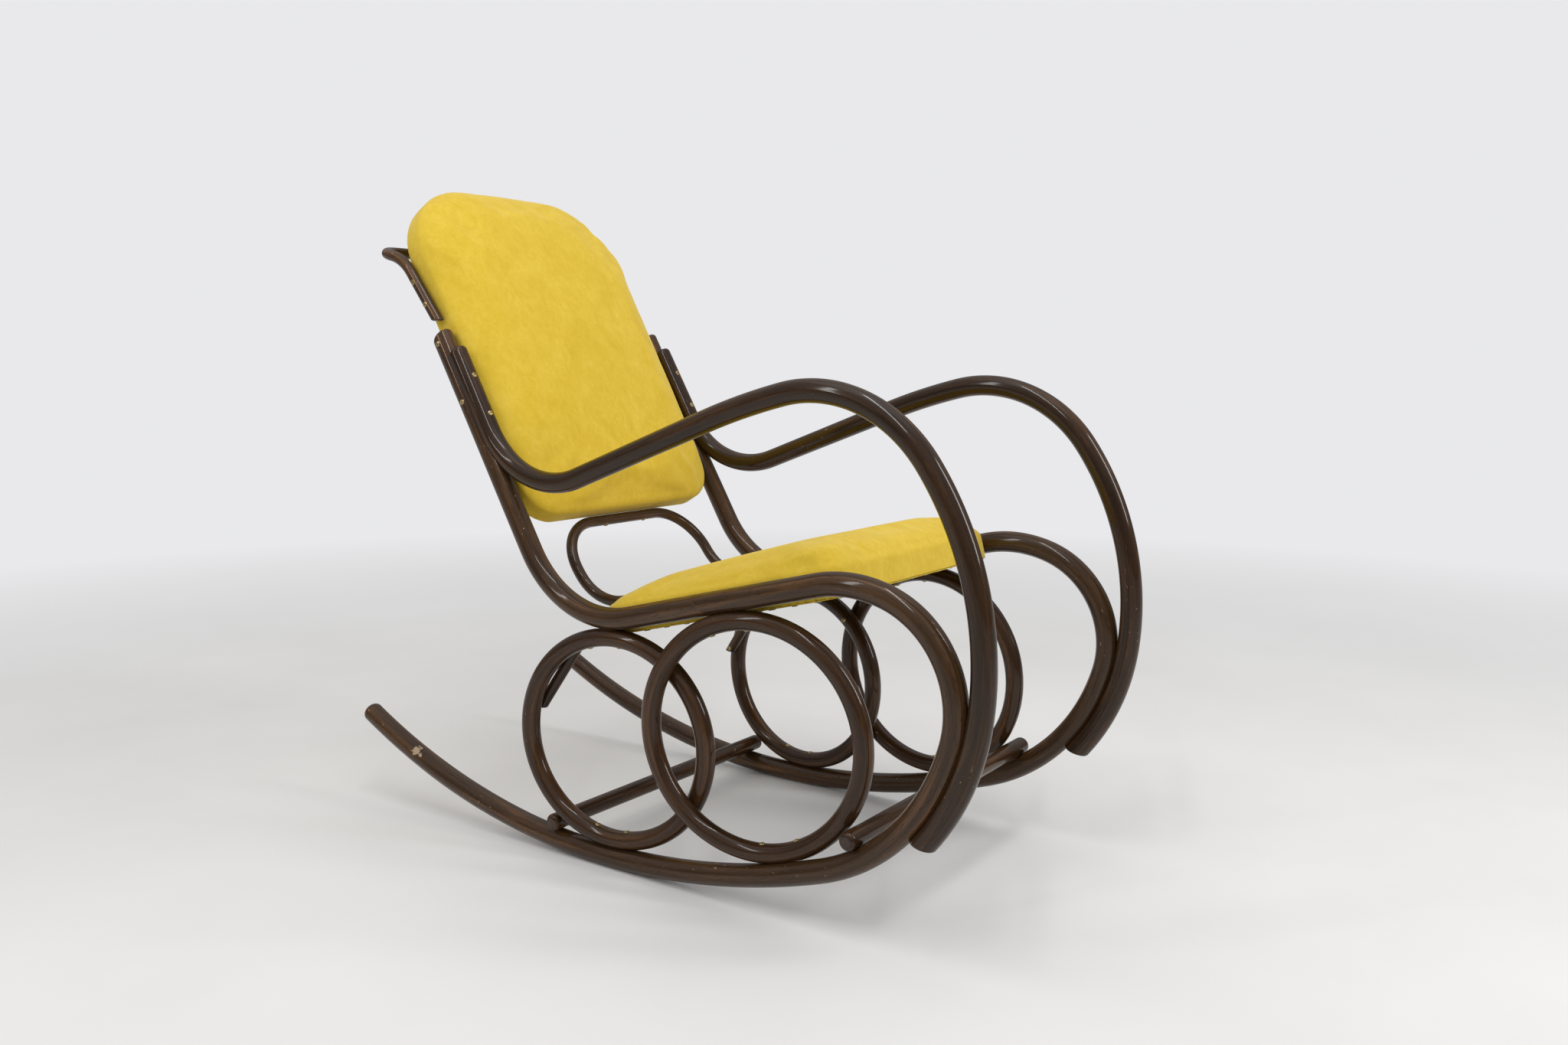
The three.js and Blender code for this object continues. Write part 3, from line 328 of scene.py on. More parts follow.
# A flat route in the side view. Along an arc that turns from h to h + t over length l the place is
# start + l / t (sin(h + t) - sin h, cos h - cos(h + t)); along a straight it is start + l (cos h, sin h).
def sideRoute(start, headingDeg, moves, spacing=5.0):
    # each move is a bend's radius and its turn in degrees, or a straight's length and no turn
    y, z, heading, travelled = *start, math.radians(headingDeg), 0.0
    parts = [np.array([[y, z, heading, travelled]])]
    for size, turnDeg in moves:
        turn = math.radians(turnDeg)
        length = size * abs(turn) if turn else size
        share = np.linspace(0, 1, max(2, math.ceil(length / spacing)) + 1)[1:]
        headings = heading + turn * share
        if turn:
            newY = y + length / turn * (np.sin(headings) - math.sin(heading))
            newZ = z + length / turn * (math.cos(heading) - np.cos(headings))
        else:
            newY = y + math.cos(heading) * length * share
            newZ = z + math.sin(heading) * length * share
        parts.append(np.stack([newY, newZ, headings, travelled + length * share], 1))
        y, z, heading, travelled = parts[-1][-1]
    return dict(zip(("y", "z", "heading", "s"), np.concatenate(parts).T))


def stretchOf(route, start, end):  # the route from one distance to another
    inside = (route["s"] > start + 0.5) & (route["s"] < end - 0.5)
    s = np.concatenate([[start], route["s"][inside], [end]])
    return {key: np.interp(s, route["s"], route[key]) for key in route}


def flatLine(route, x):  # centres with a direction across in the plane and one square to it
    ones, zeros = np.ones_like(route["y"]), np.zeros_like(route["y"])
    return {"centres": np.stack([x * ones, route["y"], route["z"]], 1),
            "across": np.stack([zeros, -np.sin(route["heading"]), np.cos(route["heading"])], 1),
            "square": np.stack([ones, zeros, zeros], 1), "s": route["s"]}


def straightLine(start, along, across, square, s):
    n = (len(s), 1)
    return {"centres": start + s[:, None] * along, "across": np.tile(across, n), "square": np.tile(square, n),
            "s": s}


# A rod with a cut end: past the last circle the edge rolls over a quarter round of radius e, so the
# circles shrink to r - e (1 - cos a) while they move on by e sin a, and the flat is drawn in to its middle.
# A slanted cut moves each point on by slant times how far it lies across.
bending = {
    "wander": 0.012,  # a bent rod's thickness wanders by this share, in waves of waveLength times 2 pi
    "waveLength": 61.0,
    "rollSteps": 6,
    "flatShares": np.array([0.75, 0.5, 0.25, 0.02]),
}


def rodEnd(edge, radius):  # the radii past the last circle, and how far each has moved on
    a = np.linspace(0, math.pi / 2, bending["rollSteps"] + 1)[1:]
    flat = bending["flatShares"]
    return (np.concatenate([radius - edge * (1 - np.cos(a)), (radius - edge) * flat]),
            np.concatenate([edge * np.sin(a), np.full(len(flat), edge)]))


def rod(line, radius, start, end, sides=32, seed=0):
    # start and end are (edge radius, slant); radius is one value or one for each centre
    s = line["s"]
    wave = 0.5 + 0.5 * np.sin(s / bending["waveLength"] + seed)
    full = np.broadcast_to(radius, s.shape) * (1 - bending["wander"] * wave)
    startRadii, startOn = rodEnd(start[0], full[0])
    endRadii, endOn = rodEnd(end[0], full[-1])
    radii = np.concatenate([startRadii[::-1], full, endRadii])[:, None]
    shift = np.concatenate([-startOn[::-1], np.zeros(len(s)), endOn])[:, None]
    rows = np.clip(np.arange(len(radii)) - len(startRadii), 0, len(s) - 1)
    near = 3 * full[0]  # a slant fades out over this much of the rod
    slant = np.clip(1 - (s - s[0]) / near, 0, 1) * start[1] + np.clip(1 - (s[-1] - s) / near, 0, 1) * end[1]
    angle = 2 * math.pi * (np.arange(sides) + 0.5) / sides
    out, aside = radii * np.cos(angle), radii * np.sin(angle)
    onward = shift + slant[rows][:, None] * out
    centres, across, square = (line[key][rows][:, None] for key in ("centres", "across", "square"))
    points = (centres + across * out[..., None] + square * aside[..., None]
              + np.cross(across, square) * onward[..., None])
    along = np.broadcast_to(s[rows][:, None] + shift + seed * 137.0, out.shape)
    straight = np.stack([along, out + seed * 5.3, aside], 2).reshape(-1, 3)
    row, cut = np.arange(len(radii) - 1).repeat(sides), len(bending["flatShares"])
    sawn = (row < cut) | (row >= len(radii) - 1 - cut)
    return *closedSkin(points), straight, sawn.astype(int).tolist() + [1, 1]


# Where a rod is let into another, its points inside the other are moved straight out from the other's
# middle line to its surface: p = nearest + (p - nearest) / |p - nearest| (radius + gap).
def letInto(points, centres, radius, reach=12, batch=2000):
    keep = radius + place["gap"]
    moved = points.copy()
    for part in np.array_split(np.arange(len(points)), max(1, len(points) // batch)):
        p = moved[part]
        index = ((p[:, None] - centres[None]) ** 2).sum(2).argmin(1)
        before = centres[np.clip(index - 1, 0, len(centres) - 1)]
        after = centres[np.clip(index + 1, 0, len(centres) - 1)]
        direction = (after - before) / np.linalg.norm(after - before, axis=1)[:, None]
        offset = p - centres[index]
        along = (offset * direction).sum(1)
        away = offset - along[:, None] * direction
        distance = np.linalg.norm(away, axis=1)
        inside = (distance < keep) & (np.abs(along) < reach)
        push = (keep - distance)[:, None] * away / np.maximum(distance, 1e-6)[:, None]
        p[inside] += push[inside]
        moved[part] = p
    return moved


def bothSides(name, materials, made, lets=(), seed=0):  # the left piece and its mirror image
    points, faces, straight, faceMaterial = made
    for centres, radius in lets:
        points = letInto(points, centres, radius)
    grainApart = np.array([811.0 + seed * 53, 9.0, 4.0])
    for side, turned, apart in (("_left", 1, 0), ("_right", otherSide, grainApart)):
        newPiece(name + side + "_rod", name + side, "stained_beech", materials, points * turned, faces,
                 straight + apart, faceMaterial)


# The side frames

sideFrame = {
    "radius": 16.3,
    "start": (542.7986, 151.1319),
    "headingDeg": 207.9,
    # radii and turns: runner, floor, toe, chin, nose and brow, then rail, heel and post
    "moves": [(1160.0, -26.2), (1160.0, -3.4), (1160.0, -17.1), (295.0, -55.0), (142.0, -87.0),
              (189.0, -33.0), (329.0, 0), (173.0, 73.8), (368.0, 0)],
    "scarfFromBrow": 189.0,
    "scarfSlant": slope(37),
    "scarfGap": 0.5,
    "scarfEdge": 1.3,
    "tipEdge": 9.0,  # rounding of the runner's rear tip
    "topEdge": 4.0,
    "topSlant": slope(20),  # the post's top is sawn down towards the rear
}
frameRoute = sideRoute(sideFrame["start"], sideFrame["headingDeg"], sideFrame["moves"])
frameCentres = flatLine(frameRoute, place["sideX"])["centres"]
ontoFrame = [(frameCentres, sideFrame["radius"])]
browEnd = sum(radius * math.radians(-turn) for radius, turn in sideFrame["moves"][:6])
scarfAt = browEnd + sideFrame["scarfFromBrow"]
scarf = (sideFrame["scarfEdge"], sideFrame["scarfSlant"])
beech, ringWood = [postBeech, sawnBeech], [ringBeech, sawnBeech]

runnerRoute = stretchOf(frameRoute, sideFrame["tipEdge"], scarfAt - sideFrame["scarfGap"])
runnerLine = flatLine(runnerRoute, place["sideX"])
points, *rest = rod(runnerLine, sideFrame["radius"], (sideFrame["tipEdge"], 0.0), scarf, seed=1)
points[:, 2] = np.maximum(points[:, 2], -place["shift"][2])  # worn flat where it rocks on the floor
bothSides("side_runner", beech, (points, *rest))
postTop = frameRoute["s"][-1] - sideFrame["topEdge"] - 0.2
postLine = flatLine(stretchOf(frameRoute, scarfAt + sideFrame["scarfGap"], postTop), place["sideX"])
bothSides("side_post", beech, rod(postLine, sideFrame["radius"], scarf,
                                  (sideFrame["topEdge"], sideFrame["topSlant"]), seed=2))
print("side frames bent")

# The arms

arm = {
    "frontRadius": 16.4,
    "rearRadius": 15.2,
    "start": (-523.7991, 145.9361),
    "headingDeg": 130.8,
    # foot round the curl, front, shoulder, top, rise, elbow, then up the post's face
    "moves": [(323.7, -33.7), (423.0, -42.3), (204.0, -68.0), (1047.0, -7.1), (253.3341, 0), (148.0, 80.3),
              (138.9478, 0)],
    "foot": (2.0, slope(24)),  # edge and slant
    "end": (7.0, slope(16)),
    "endBack": 1.5,
}
armRoute = sideRoute(arm["start"], arm["headingDeg"], arm["moves"])
armEnd = armRoute["s"][-1] - arm["end"][0] - arm["endBack"]
armLine = flatLine(stretchOf(armRoute, arm["foot"][0], armEnd), place["sideX"])
armRadii = np.interp(armLine["s"], [0, armRoute["s"][-1]], [arm["frontRadius"], arm["rearRadius"]])
bothSides("arm", [armBeech, sawnBeech], rod(armLine, armRadii, arm["foot"], arm["end"], seed=3), ontoFrame)
print("arms bent")

# The rings, stays and stretchers

ringTurn = math.radians(6.32)  # both stand a little askew, so that they pass each other
ringAlong = np.array([math.sin(ringTurn), math.cos(ringTurn), 0])
ringOut = np.array([math.cos(ringTurn), -math.sin(ringTurn), 0])
rings = {
    "radius": 13.5,
    "wander": 0.01,
    "widening": 1.035,
    "rear": {"centre": np.array([240.0, -17.0, 193.5624]), "size": 149.8154, "seed": 4},
    "front": {"centre": np.array([240.0, -265.0, 238.416]), "size": 158.0968, "seed": 5},
}


# A ring is a circle of radius q carried round an oval of size r: the point at angle a round the ring
# and b round the rod is centre + (r + q cos b)(w cos a, sin a) in the ring's plane + q sin b square to it.
def ringRod(ring, steps=150, sides=30):
    a, b = np.meshgrid(2 * math.pi * np.arange(steps) / steps, 2 * math.pi * (np.arange(sides) + 0.5) / sides,
                       indexing="ij")
    seed = ring["seed"]
    q = rings["radius"] * (1 - rings["wander"] * (0.5 + 0.5 * np.sin(3 * a + seed)))
    r = ring["size"] + q * np.cos(b)
    points = (ring["centre"] + (rings["widening"] * r * np.cos(a))[..., None] * ringAlong
              + (r * np.sin(a))[..., None] * axisZ + (q * np.sin(b))[..., None] * ringOut)
    straight = np.stack([np.abs(a - math.pi) * ring["size"] + seed * 211.0, q * np.cos(b) + seed * 6.1,
                         q * np.sin(b)], 2)
    faces = gridFaces(steps, sides, closedRows=True).tolist()
    return points.reshape(-1, 3), faces, straight.reshape(-1, 3), [0] * len(faces)


for name in ("rear", "front"):
    bothSides("ring_" + name, ringWood, ringRod(rings[name]), ontoFrame, rings[name]["seed"])

# the seat and the back, each with its own directions and the height of its underside
seatAt = {"origin": np.array([0, -45.642, 375.4439]), "forward": sideView(166.2), "up": sideView(76.2),
          "rim": -22.3}
backAt = {"origin": np.array([0, 145.4467, 456.9502]), "forward": sideView(60), "up": sideView(150),
          "rim": -20.3}


def onPanel(at, across, along, above):
    return (at["origin"] + np.asarray(across)[..., None] * axisX
            + np.asarray(along)[..., None] * at["forward"] + np.asarray(above)[..., None] * at["up"])


# a stay is a straight rod beside the ring, crossing it twice
stay = {
    "radius": 8.5,
    "tip": np.array([234.6944, 137.674, 216.9987]),
    "along": np.array([-0.0638, -0.5761, 0.8149]),
    "length": 133.8761,
    "foot": (2.0, 0.5),  # edge and slant
    "topBelow": 0.6,  # the tops are planed to the underside of the seat
}
stayRun = np.linspace(stay["foot"][0], stay["length"] + 2 * stay["radius"], 50)
stayLine = straightLine(stay["tip"], stay["along"], np.cross(stay["along"], ringOut), ringOut, stayRun)
points, *rest = rod(stayLine, stay["radius"], stay["foot"], (1.0, 0.0), sides=24, seed=6)
tooHigh = np.maximum((points - seatAt["origin"]) @ seatAt["up"] - (seatAt["rim"] - stay["topBelow"]), 0)
bothSides("seat_stay", ringWood, (points - tooHigh[:, None] * seatAt["up"], *rest))

stretchers = {
    "radius": 13.0,
    "halfLength": 260.3,  # to the outside of the runners and 4 beyond
    "domeEdge": 6.5,
    "places": {"stretcher_rear": (96.3, 50.1, 7), "stretcher_front": (-425.3691, 134.0618, 8)},
}
halfRun = stretchers["halfLength"] - stretchers["domeEdge"]
for name, (y, z, seed) in stretchers["places"].items():
    line = straightLine(np.array([-halfRun, y, z]), axisX, axisY, axisZ, np.linspace(0, 2 * halfRun, 90))
    dome = (stretchers["domeEdge"], 0.0)
    points, *rest = rod(line, stretchers["radius"], dome, dome, seed=seed)
    for side in (1, otherSide):
        points = letInto(points, frameCentres * side, sideFrame["radius"])
    newPiece(name + "_rod", name, "stained_beech", ringWood, points, *rest)
print("rings, stays and stretchers made")

# The hoop under the back and the handle behind it


def rotated(vectors, axis, angle):  # turned about a unit axis: v cos a + (k x v) sin a + k (k . v)(1 - cos a)
    angle = np.asarray(angle)[..., None]
    return (vectors * np.cos(angle) + np.cross(axis, vectors) * np.sin(angle)
            + axis * (vectors @ axis)[..., None] * (1 - np.cos(angle)))


def bentLine(start, along, across, moves, spacing=3.0):
    # each move is (length,) for a straight or (radius, degrees, axis) for a bend about an axis square to it
    at, travelled = start, 0.0
    centres, acrosses, lengths = [start[None]], [across[None]], [np.zeros(1)]
    for size, *bend in moves:
        angle = math.radians(bend[0]) if bend else 0
        length = size * angle if bend else size
        share = np.linspace(0, 1, max(4 if bend else 2, int(length / spacing)) + 1)[1:]
        if bend:
            hub = at + np.cross(bend[1], along) * size
            centres.append(hub + rotated(at - hub, bend[1], share * angle))
            acrosses.append(rotated(across, bend[1], share * angle))
            along = rotated(along, bend[1], angle)
        else:
            centres.append(at + share[:, None] * length * along)
            acrosses.append(np.tile(across, (len(share), 1)))
        lengths.append(travelled + share * length)
        at, across, travelled = centres[-1][-1], acrosses[-1][-1], travelled + length
    return {"centres": np.concatenate(centres), "across": np.concatenate(acrosses),
            "s": np.concatenate(lengths)}


def mirroredLine(half):  # a half from the middle outwards becomes the whole, right end first
    whole = {key: np.concatenate([half[key][:0:-1] * otherSide, half[key]]) for key in ("centres", "across")}
    square = np.cross(np.gradient(whole["centres"], axis=0), whole["across"])
    return whole | {"square": square / np.linalg.norm(square, axis=1)[:, None],
                    "s": np.concatenate([-half["s"][:0:-1], half["s"]]) + half["s"][-1]}


hoop = {
    "radius": 8.6,
    "start": np.array([0, 178.6569, 480.5797]),
    "down": -sideView(53),
    "halfWidth": 157.0,
    "cornerRadius": 81.0,
    "legStraight": 5.85,
    "bendRadius": 87.2334,
    "bendDeg": 66.8,
    "onFrame": 25.6442,
    "end": (2.0, 0.0),  # edge and slant
    "screwsMoved": np.array([0, 6.0, -3.5]),  # from where they are drawn, with the hoop
}
hoopLine = mirroredLine(bentLine(hoop["start"], axisX, hoop["down"], [
    (hoop["halfWidth"] - hoop["cornerRadius"],),
    (hoop["cornerRadius"], 90.0, np.cross(axisX, hoop["down"])),
    (hoop["legStraight"],),
    (hoop["bendRadius"], hoop["bendDeg"], -axisX),
    (hoop["onFrame"],),
]))
newPiece("back_hoop_rod", "back_hoop", "stained_beech", beech,
         *rod(hoopLine, hoop["radius"], hoop["end"], hoop["end"], sides=28, seed=9))

handle = {
    "radius": 8.7,
    "foot": np.array([232.4, 347.9108, 799.6283]),
    "along": sideView(52),
    "armLength": 96.0,
    "sweepRadius": 80.0,
    "sweepDeg": 39.0,
    "cornerRadius": 38.0,
    "footEdge": 3.0,
    "footSlant": slope(35),
}
handleSwept = rotated(handle["along"], -axisX, math.radians(handle["sweepDeg"]))
handleHalf = bentLine(handle["foot"] + handle["along"] * handle["footEdge"], handle["along"],
                      np.cross(axisX, handle["along"]), [
    (handle["armLength"] - handle["footEdge"],),
    (handle["sweepRadius"], handle["sweepDeg"], -axisX),
    (handle["cornerRadius"], 90.0, np.cross(handleSwept, -axisX)),
    (handle["foot"][0] - handle["cornerRadius"],),
])
fromMiddle = {key: handleHalf[key][::-1] for key in ("centres", "across")}
fromMiddle["s"] = handleHalf["s"][-1] - handleHalf["s"][::-1]
newPiece("head_handle_rod", "head_handle", "stained_beech", beech,
         *rod(mirroredLine(fromMiddle), handle["radius"], (handle["footEdge"], -handle["footSlant"]),
              (handle["footEdge"], handle["footSlant"]), sides=28, seed=10))
print("hoop and handle bent")

# The screws: each stands where its drawn screw stands, with the head at the wider end

screw = {
    "headRadius": 4.5, "headHeight": 2.3, "slotWidth": 1.34, "slotDepth": 1.2, "slotFloor": 0.15,
    "shank": 2.0, "shankDepth": 6.0, "around": 24, "turnEach": 1.9, "sharpDeg": 38,
    "radiusShares": np.array([1.0, 0.97, 0.9, 0.8, 0.68, 0.55, 0.42, 0.3, 0.2, 0.12, 0.02]),
    "rimShare": 0.98,
}


# A slotted dome: the point at radius p and angle a stands at height h sqrt(1 - (p / r)^2), less the slot's
# depth where it lies within half a slot's width of the slot's line.
def screwShape(turn):
    a, level = 2 * math.pi * np.arange(screw["around"]) / screw["around"], np.ones(screw["around"])
    shares = screw["radiusShares"][:, None]
    height = screw["headHeight"] * np.sqrt(np.maximum(0, 1 - shares ** 2)) * level
    inSlot = np.abs(shares * screw["headRadius"] * np.sin(a)) < screw["slotWidth"] / 2
    height = np.where(inSlot, np.maximum(height - screw["slotDepth"], screw["slotFloor"]), height)
    height = np.concatenate([np.array([[-screw["shankDepth"]], [0.0], [0.0]]) * level, height])
    shank, rim = screw["shank"], screw["headRadius"] * screw["rimShare"]
    p = np.concatenate([[[shank], [shank], [rim]], shares * screw["headRadius"]])
    return closedSkin(np.stack([p * np.cos(a + turn), p * np.sin(a + turn), height], 2))


screwNames = sorted(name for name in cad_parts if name.startswith("screw_"))
for index, name in enumerate(screwNames):
    co = intoDrawing(np.unique(coordinates(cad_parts[name].data).round(6), axis=0))
    middle = co.mean(0)
    axis = np.linalg.svd(co - middle)[2][0]
    along = (co - middle) @ axis
    wide = np.linalg.norm(co - middle - along[:, None] * axis, axis=1)
    if along[wide > wide.max() * 0.9].mean() < 0:
        axis, along = -axis, -along
    restsAt = middle + axis * along[wide > wide.max() * 0.95].min()  # the plane that the head rests on
    aside = np.cross(axis, axisZ if abs(axis[2]) < 0.9 else axisY)
    aside /= np.linalg.norm(aside)
    points, faces = screwShape(index * screw["turnEach"])
    points = restsAt + points @ np.stack([aside, np.cross(axis, aside), axis])
    points = points + hoop["screwsMoved"] * ("hoop" in name)
    newPiece(name + "_slotted", name, "brass", [agedBrass], points, faces, sharpDeg=screw["sharpDeg"])
print(len(screwNames), "screws set")

# The upholstery

panel = {
    "half": 223.4,
    "seat": {"start": -90.0, "end": 346.0, "startRound": 60.0, "endRound": 34.0, "arch": 0.0},
    "back": {"start": 46.0, "end": 634.0, "startRound": 68.0, "endRound": 128.0, "arch": 11.0},
    "leastRound": 2.5,
}


def middleOf(shape):
    return (shape["start"] + shape["end"]) / 2


# A rectangle with four round corners drawn in by an inset: quarter circles joined by straights.
def roundedOutline(shape, inset, cornerSteps=14, sideSteps=22):
    corners = [(1, shape["end"], shape["endRound"], -1), (-1, shape["end"], shape["endRound"], -1),
               (-1, shape["start"], shape["startRound"], 1), (1, shape["start"], shape["startRound"], 1)]
    arcs = []
    for turned, (side, edge, radius, inward) in enumerate(corners):
        r = max(radius - inset, panel["leastRound"])
        angle = math.pi / 2 * (turned + np.linspace(0, 1, cornerSteps + 1))
        arcs.append(np.stack([side * (panel["half"] - inset - r) + r * np.cos(angle),
                              edge + inward * (inset + r) + r * np.sin(angle)], 1))
    sides = [np.linspace(arcs[k][-1], arcs[(k + 1) % 4][0], sideSteps + 1)[1:-1] for k in range(4)]
    return np.concatenate([part for pair in zip(arcs, sides) for part in pair])


def distancesAlong(outline):  # how far each point lies from the first, and the whole way round
    steps = np.linalg.norm(np.roll(outline, -1, 0) - outline, axis=1)
    return np.concatenate([[0], np.cumsum(steps)[:-1]]), steps.sum()


# The far edge is bowed by arch (1 - (x / half)^2)^2, which fades to nothing at the panel's middle.
def bowed(shape, x, y):
    share = np.clip((y - middleOf(shape)) / (shape["end"] - middleOf(shape)), 0, 1)
    return y + shape["arch"] * np.clip(1 - (x / panel["half"]) ** 2, 0, 1) ** 2 * share


def drawnIn(shape, outline, share):  # an outline drawn in towards the panel's middle by a share
    return outline[:, 0] * (1 - share), outline[:, 1] + (middleOf(shape) - outline[:, 1]) * share


# The stuffed form: sides rise from the rim to the frame's top. From there, a share t of the way in, the
# cover stands at side + (crown - side)(p q + (1 - p)(1 - (1 - t)^2)), with q the quarter circle
# sqrt(1 - (1 - t / w)^2), and its corners grow rounder by q.
def stuffedForm(at, shape, look):
    outline = roundedOutline(shape, look["drawnIn"])
    rim, side = look["rim"], look["side"]
    rows = [onPanel(at, *drawnIn(shape, outline, share), rim) for share in look["underShares"]]
    for share in look["sideShares"]:
        rows.append(onPanel(at, *drawnIn(shape, outline, 0), rim + (side - rim) * share))
    for share in look["crownShares"]:
        quarter = math.sqrt(1 - (1 - min(1, share / look["roundShare"])) ** 2)
        rounder = {key: shape[key] + more * quarter for key, more in look["rounder"].items()}
        x, y = drawnIn(shape, roundedOutline(shape | rounder, look["drawnIn"]), share)
        fill = look["roundPart"] * quarter + (1 - look["roundPart"]) * (1 - (1 - share) ** 2)
        crown = np.interp(y, np.linspace(shape["start"], shape["end"], len(look["crown"])), look["crown"])
        rows.append(onPanel(at, x, y, side + (crown - side) * fill))
    return closedSkin(rows)


def applyModifiers(piece):
    mesh = bpy.data.meshes.new_from_object(piece.evaluated_get(bpy.context.evaluated_depsgraph_get()))
    piece.modifiers.clear()
    old, piece.data = piece.data, mesh
    bpy.data.meshes.remove(old)


def evenMesh(piece, look):
    remesh = piece.modifiers.new("remesh", "REMESH")
    remesh.mode = "VOXEL"
    remesh.voxel_size = look["voxel"] / 1000
    applyModifiers(piece)


# The cover is blown up from inside as cloth held along its rim, then no point keeps more than the cap.
def stuff(piece, at, look):
    start = coordinates(piece.data)
    height = (intoDrawing(start) - at["origin"]) @ at["up"]
    held = piece.vertex_groups.new(name="held")
    held.add(np.where(height < look["rim"] + look["heldHeight"])[0].tolist(), 1.0, "REPLACE")
    cloth = piece.modifiers.new("cloth", "CLOTH")
    settings = cloth.settings
    settings.quality = 5
    settings.mass = 0.3
    settings.tension_stiffness = settings.compression_stiffness = look["stiffness"]
    settings.shear_stiffness = look["stiffness"] / 2
    settings.bending_stiffness = 0.5
    settings.vertex_group_mass = "held"
    settings.use_pressure = True
    settings.uniform_pressure_force = look["pressure"]
    settings.effector_weights.gravity = 0
    cloth.collision_settings.use_collision = False
    cloth.point_cache.frame_start, cloth.point_cache.frame_end = 1, look["frames"]
    for number in range(1, look["frames"] + 1):
        bpy.context.scene.frame_set(number)
    applyModifiers(piece)
    bpy.context.scene.frame_set(1)
    move = coordinates(piece.data) - start
    length = np.linalg.norm(move, axis=1)
    print("  cloth moved up to", round(length.max() * 1000, 1), "mm")
    move *= np.minimum(1, look["cap"] / 1000 / np.maximum(length, 1e-9))[:, None]
    setCoordinates(piece.data, start + move)


# How far a place lies inside the panel's rounded edge, and the way straight out of it: with q the place
# past the middle of the corner circle, the inset is r - |max(q, 0)| - min(max(qx, qy), 0).
def fromEdge(shape, x, y):
    middle, length = middleOf(shape), (shape["end"] - shape["start"]) / 2
    r = np.where(y > middle, shape["endRound"], shape["startRound"])
    q = np.stack([np.abs(x) - (panel["half"] - r), np.abs(y - middle) - (length - r)], 1)
    outer = np.maximum(q, 0)
    reach = np.linalg.norm(outer, axis=1)
    flat = np.where((q[:, 0] > q[:, 1])[:, None], [1.0, 0.0], [0.0, 1.0])
    way = np.where((reach > 0)[:, None], outer / np.maximum(reach, 1e-9)[:, None], flat)
    return r - reach - np.minimum(q.max(1), 0), way * np.stack([np.sign(x), np.sign(y - middle)], 1)


# The cover is drawn tight over the wooden frame: beside it the fabric lies just outside the wood, and
# underneath it is hollow, with a thin rim all round and a roof over the frame.
def finishCushion(piece, at, shape, look):
    smoothed = piece.modifiers.new("smooth", "SMOOTH")
    smoothed.factor = 0.5
    smoothed.iterations = look["smoothing"]
    finer = piece.modifiers.new("finer", "SUBSURF")
    finer.levels = finer.render_levels = 1
    applyModifiers(piece)
    co = intoDrawing(coordinates(piece.data)) - at["origin"]
    x, y, above = co[:, 0], co @ at["forward"], co @ at["up"]
    inset, way = fromEdge(shape, x, y)
    normals = np.zeros(len(co) * 3, np.float32)
    piece.data.vertices.foreach_get("normal", normals)
    facing = normals.reshape(-1, 3).astype(float) @ at["up"]
    rise, edge = above - look["rim"], look["edgeBand"]
    bottom = (rise < look["rimBand"]) & ((facing < look["facingDown"]) | (inset > edge))
    beside = np.clip((look["frameTop"] + look["blend"] - above) / look["blend"], 0, 1)
    beside = beside * ~bottom * (inset < look["besideBand"])
    target = look["wall"] + look["tuck"] * np.clip(1 - rise / look["tuckRise"], 0, 1) ** 2
    newInset = np.where(beside > 0, inset + (target - inset) * beside, np.maximum(inset, look["clear"]))
    newInset = np.where(bottom & (inset < edge), look["wall"] + look["tuck"], newInset)
    roof = bottom & (inset >= edge)
    newInset = np.where(roof, np.maximum(inset, look["innerInset"]), newInset)
    above = np.where(bottom, look["rim"], np.maximum(above, look["rim"]))
    above = np.where(roof, look["hollowRoof"], above)
    limit = panel["half"] - look["clear"]
    x = np.clip(x + (inset - newInset) * way[:, 0], -limit, limit)
    y = y + (inset - newInset) * way[:, 1]
    for along, height, length, depth, dent in look["dents"]:
        away = ((y - along) / length) ** 2 + ((above - height) / depth) ** 2
        push = dent * np.exp(-away) * (np.abs(x) > panel["half"] / 2)
        x, y = x - push * way[:, 0], y - push * way[:, 1]
    points = letInto(onPanel(at, x, bowed(shape, x, y), above), hoopLine["centres"], hoop["radius"])
    setCoordinates(piece.data, intoScene(points))
    piece.data.polygons.foreach_set("use_smooth", np.ones(len(piece.data.polygons), bool))
    piece.data.set_sharp_from_angle(angle=math.radians(look["sharpDeg"]))


padCommon = {
    "drawnIn": 0.4, "heldHeight": 10.0, "pressure": 3.0, "stiffness": 60.0, "frames": 14, "cap": 6.0,
    "smoothing": 4, "wall": 0.6, "tuck": 0.9, "tuckRise": 6.0, "rimBand": 1.5, "edgeBand": 6.0,
    "besideBand": 25.0, "facingDown": -0.6, "innerInset": 2.4, "clear": 0.1, "blend": 10.0, "fill": 0.75,
    "sharpDeg": 60, "roundShare": 0.2,
    "underShares": (0.995, 0.8, 0.55, 0.3, 0.12, 0.03), "sideShares": (0.0, 0.35, 0.7, 1.0),
    "crownShares": (0.004, 0.012, 0.024, 0.04, 0.065, 0.095, 0.13, 0.17, 0.24, 0.33, 0.45, 0.6, 0.78, 0.995),
}
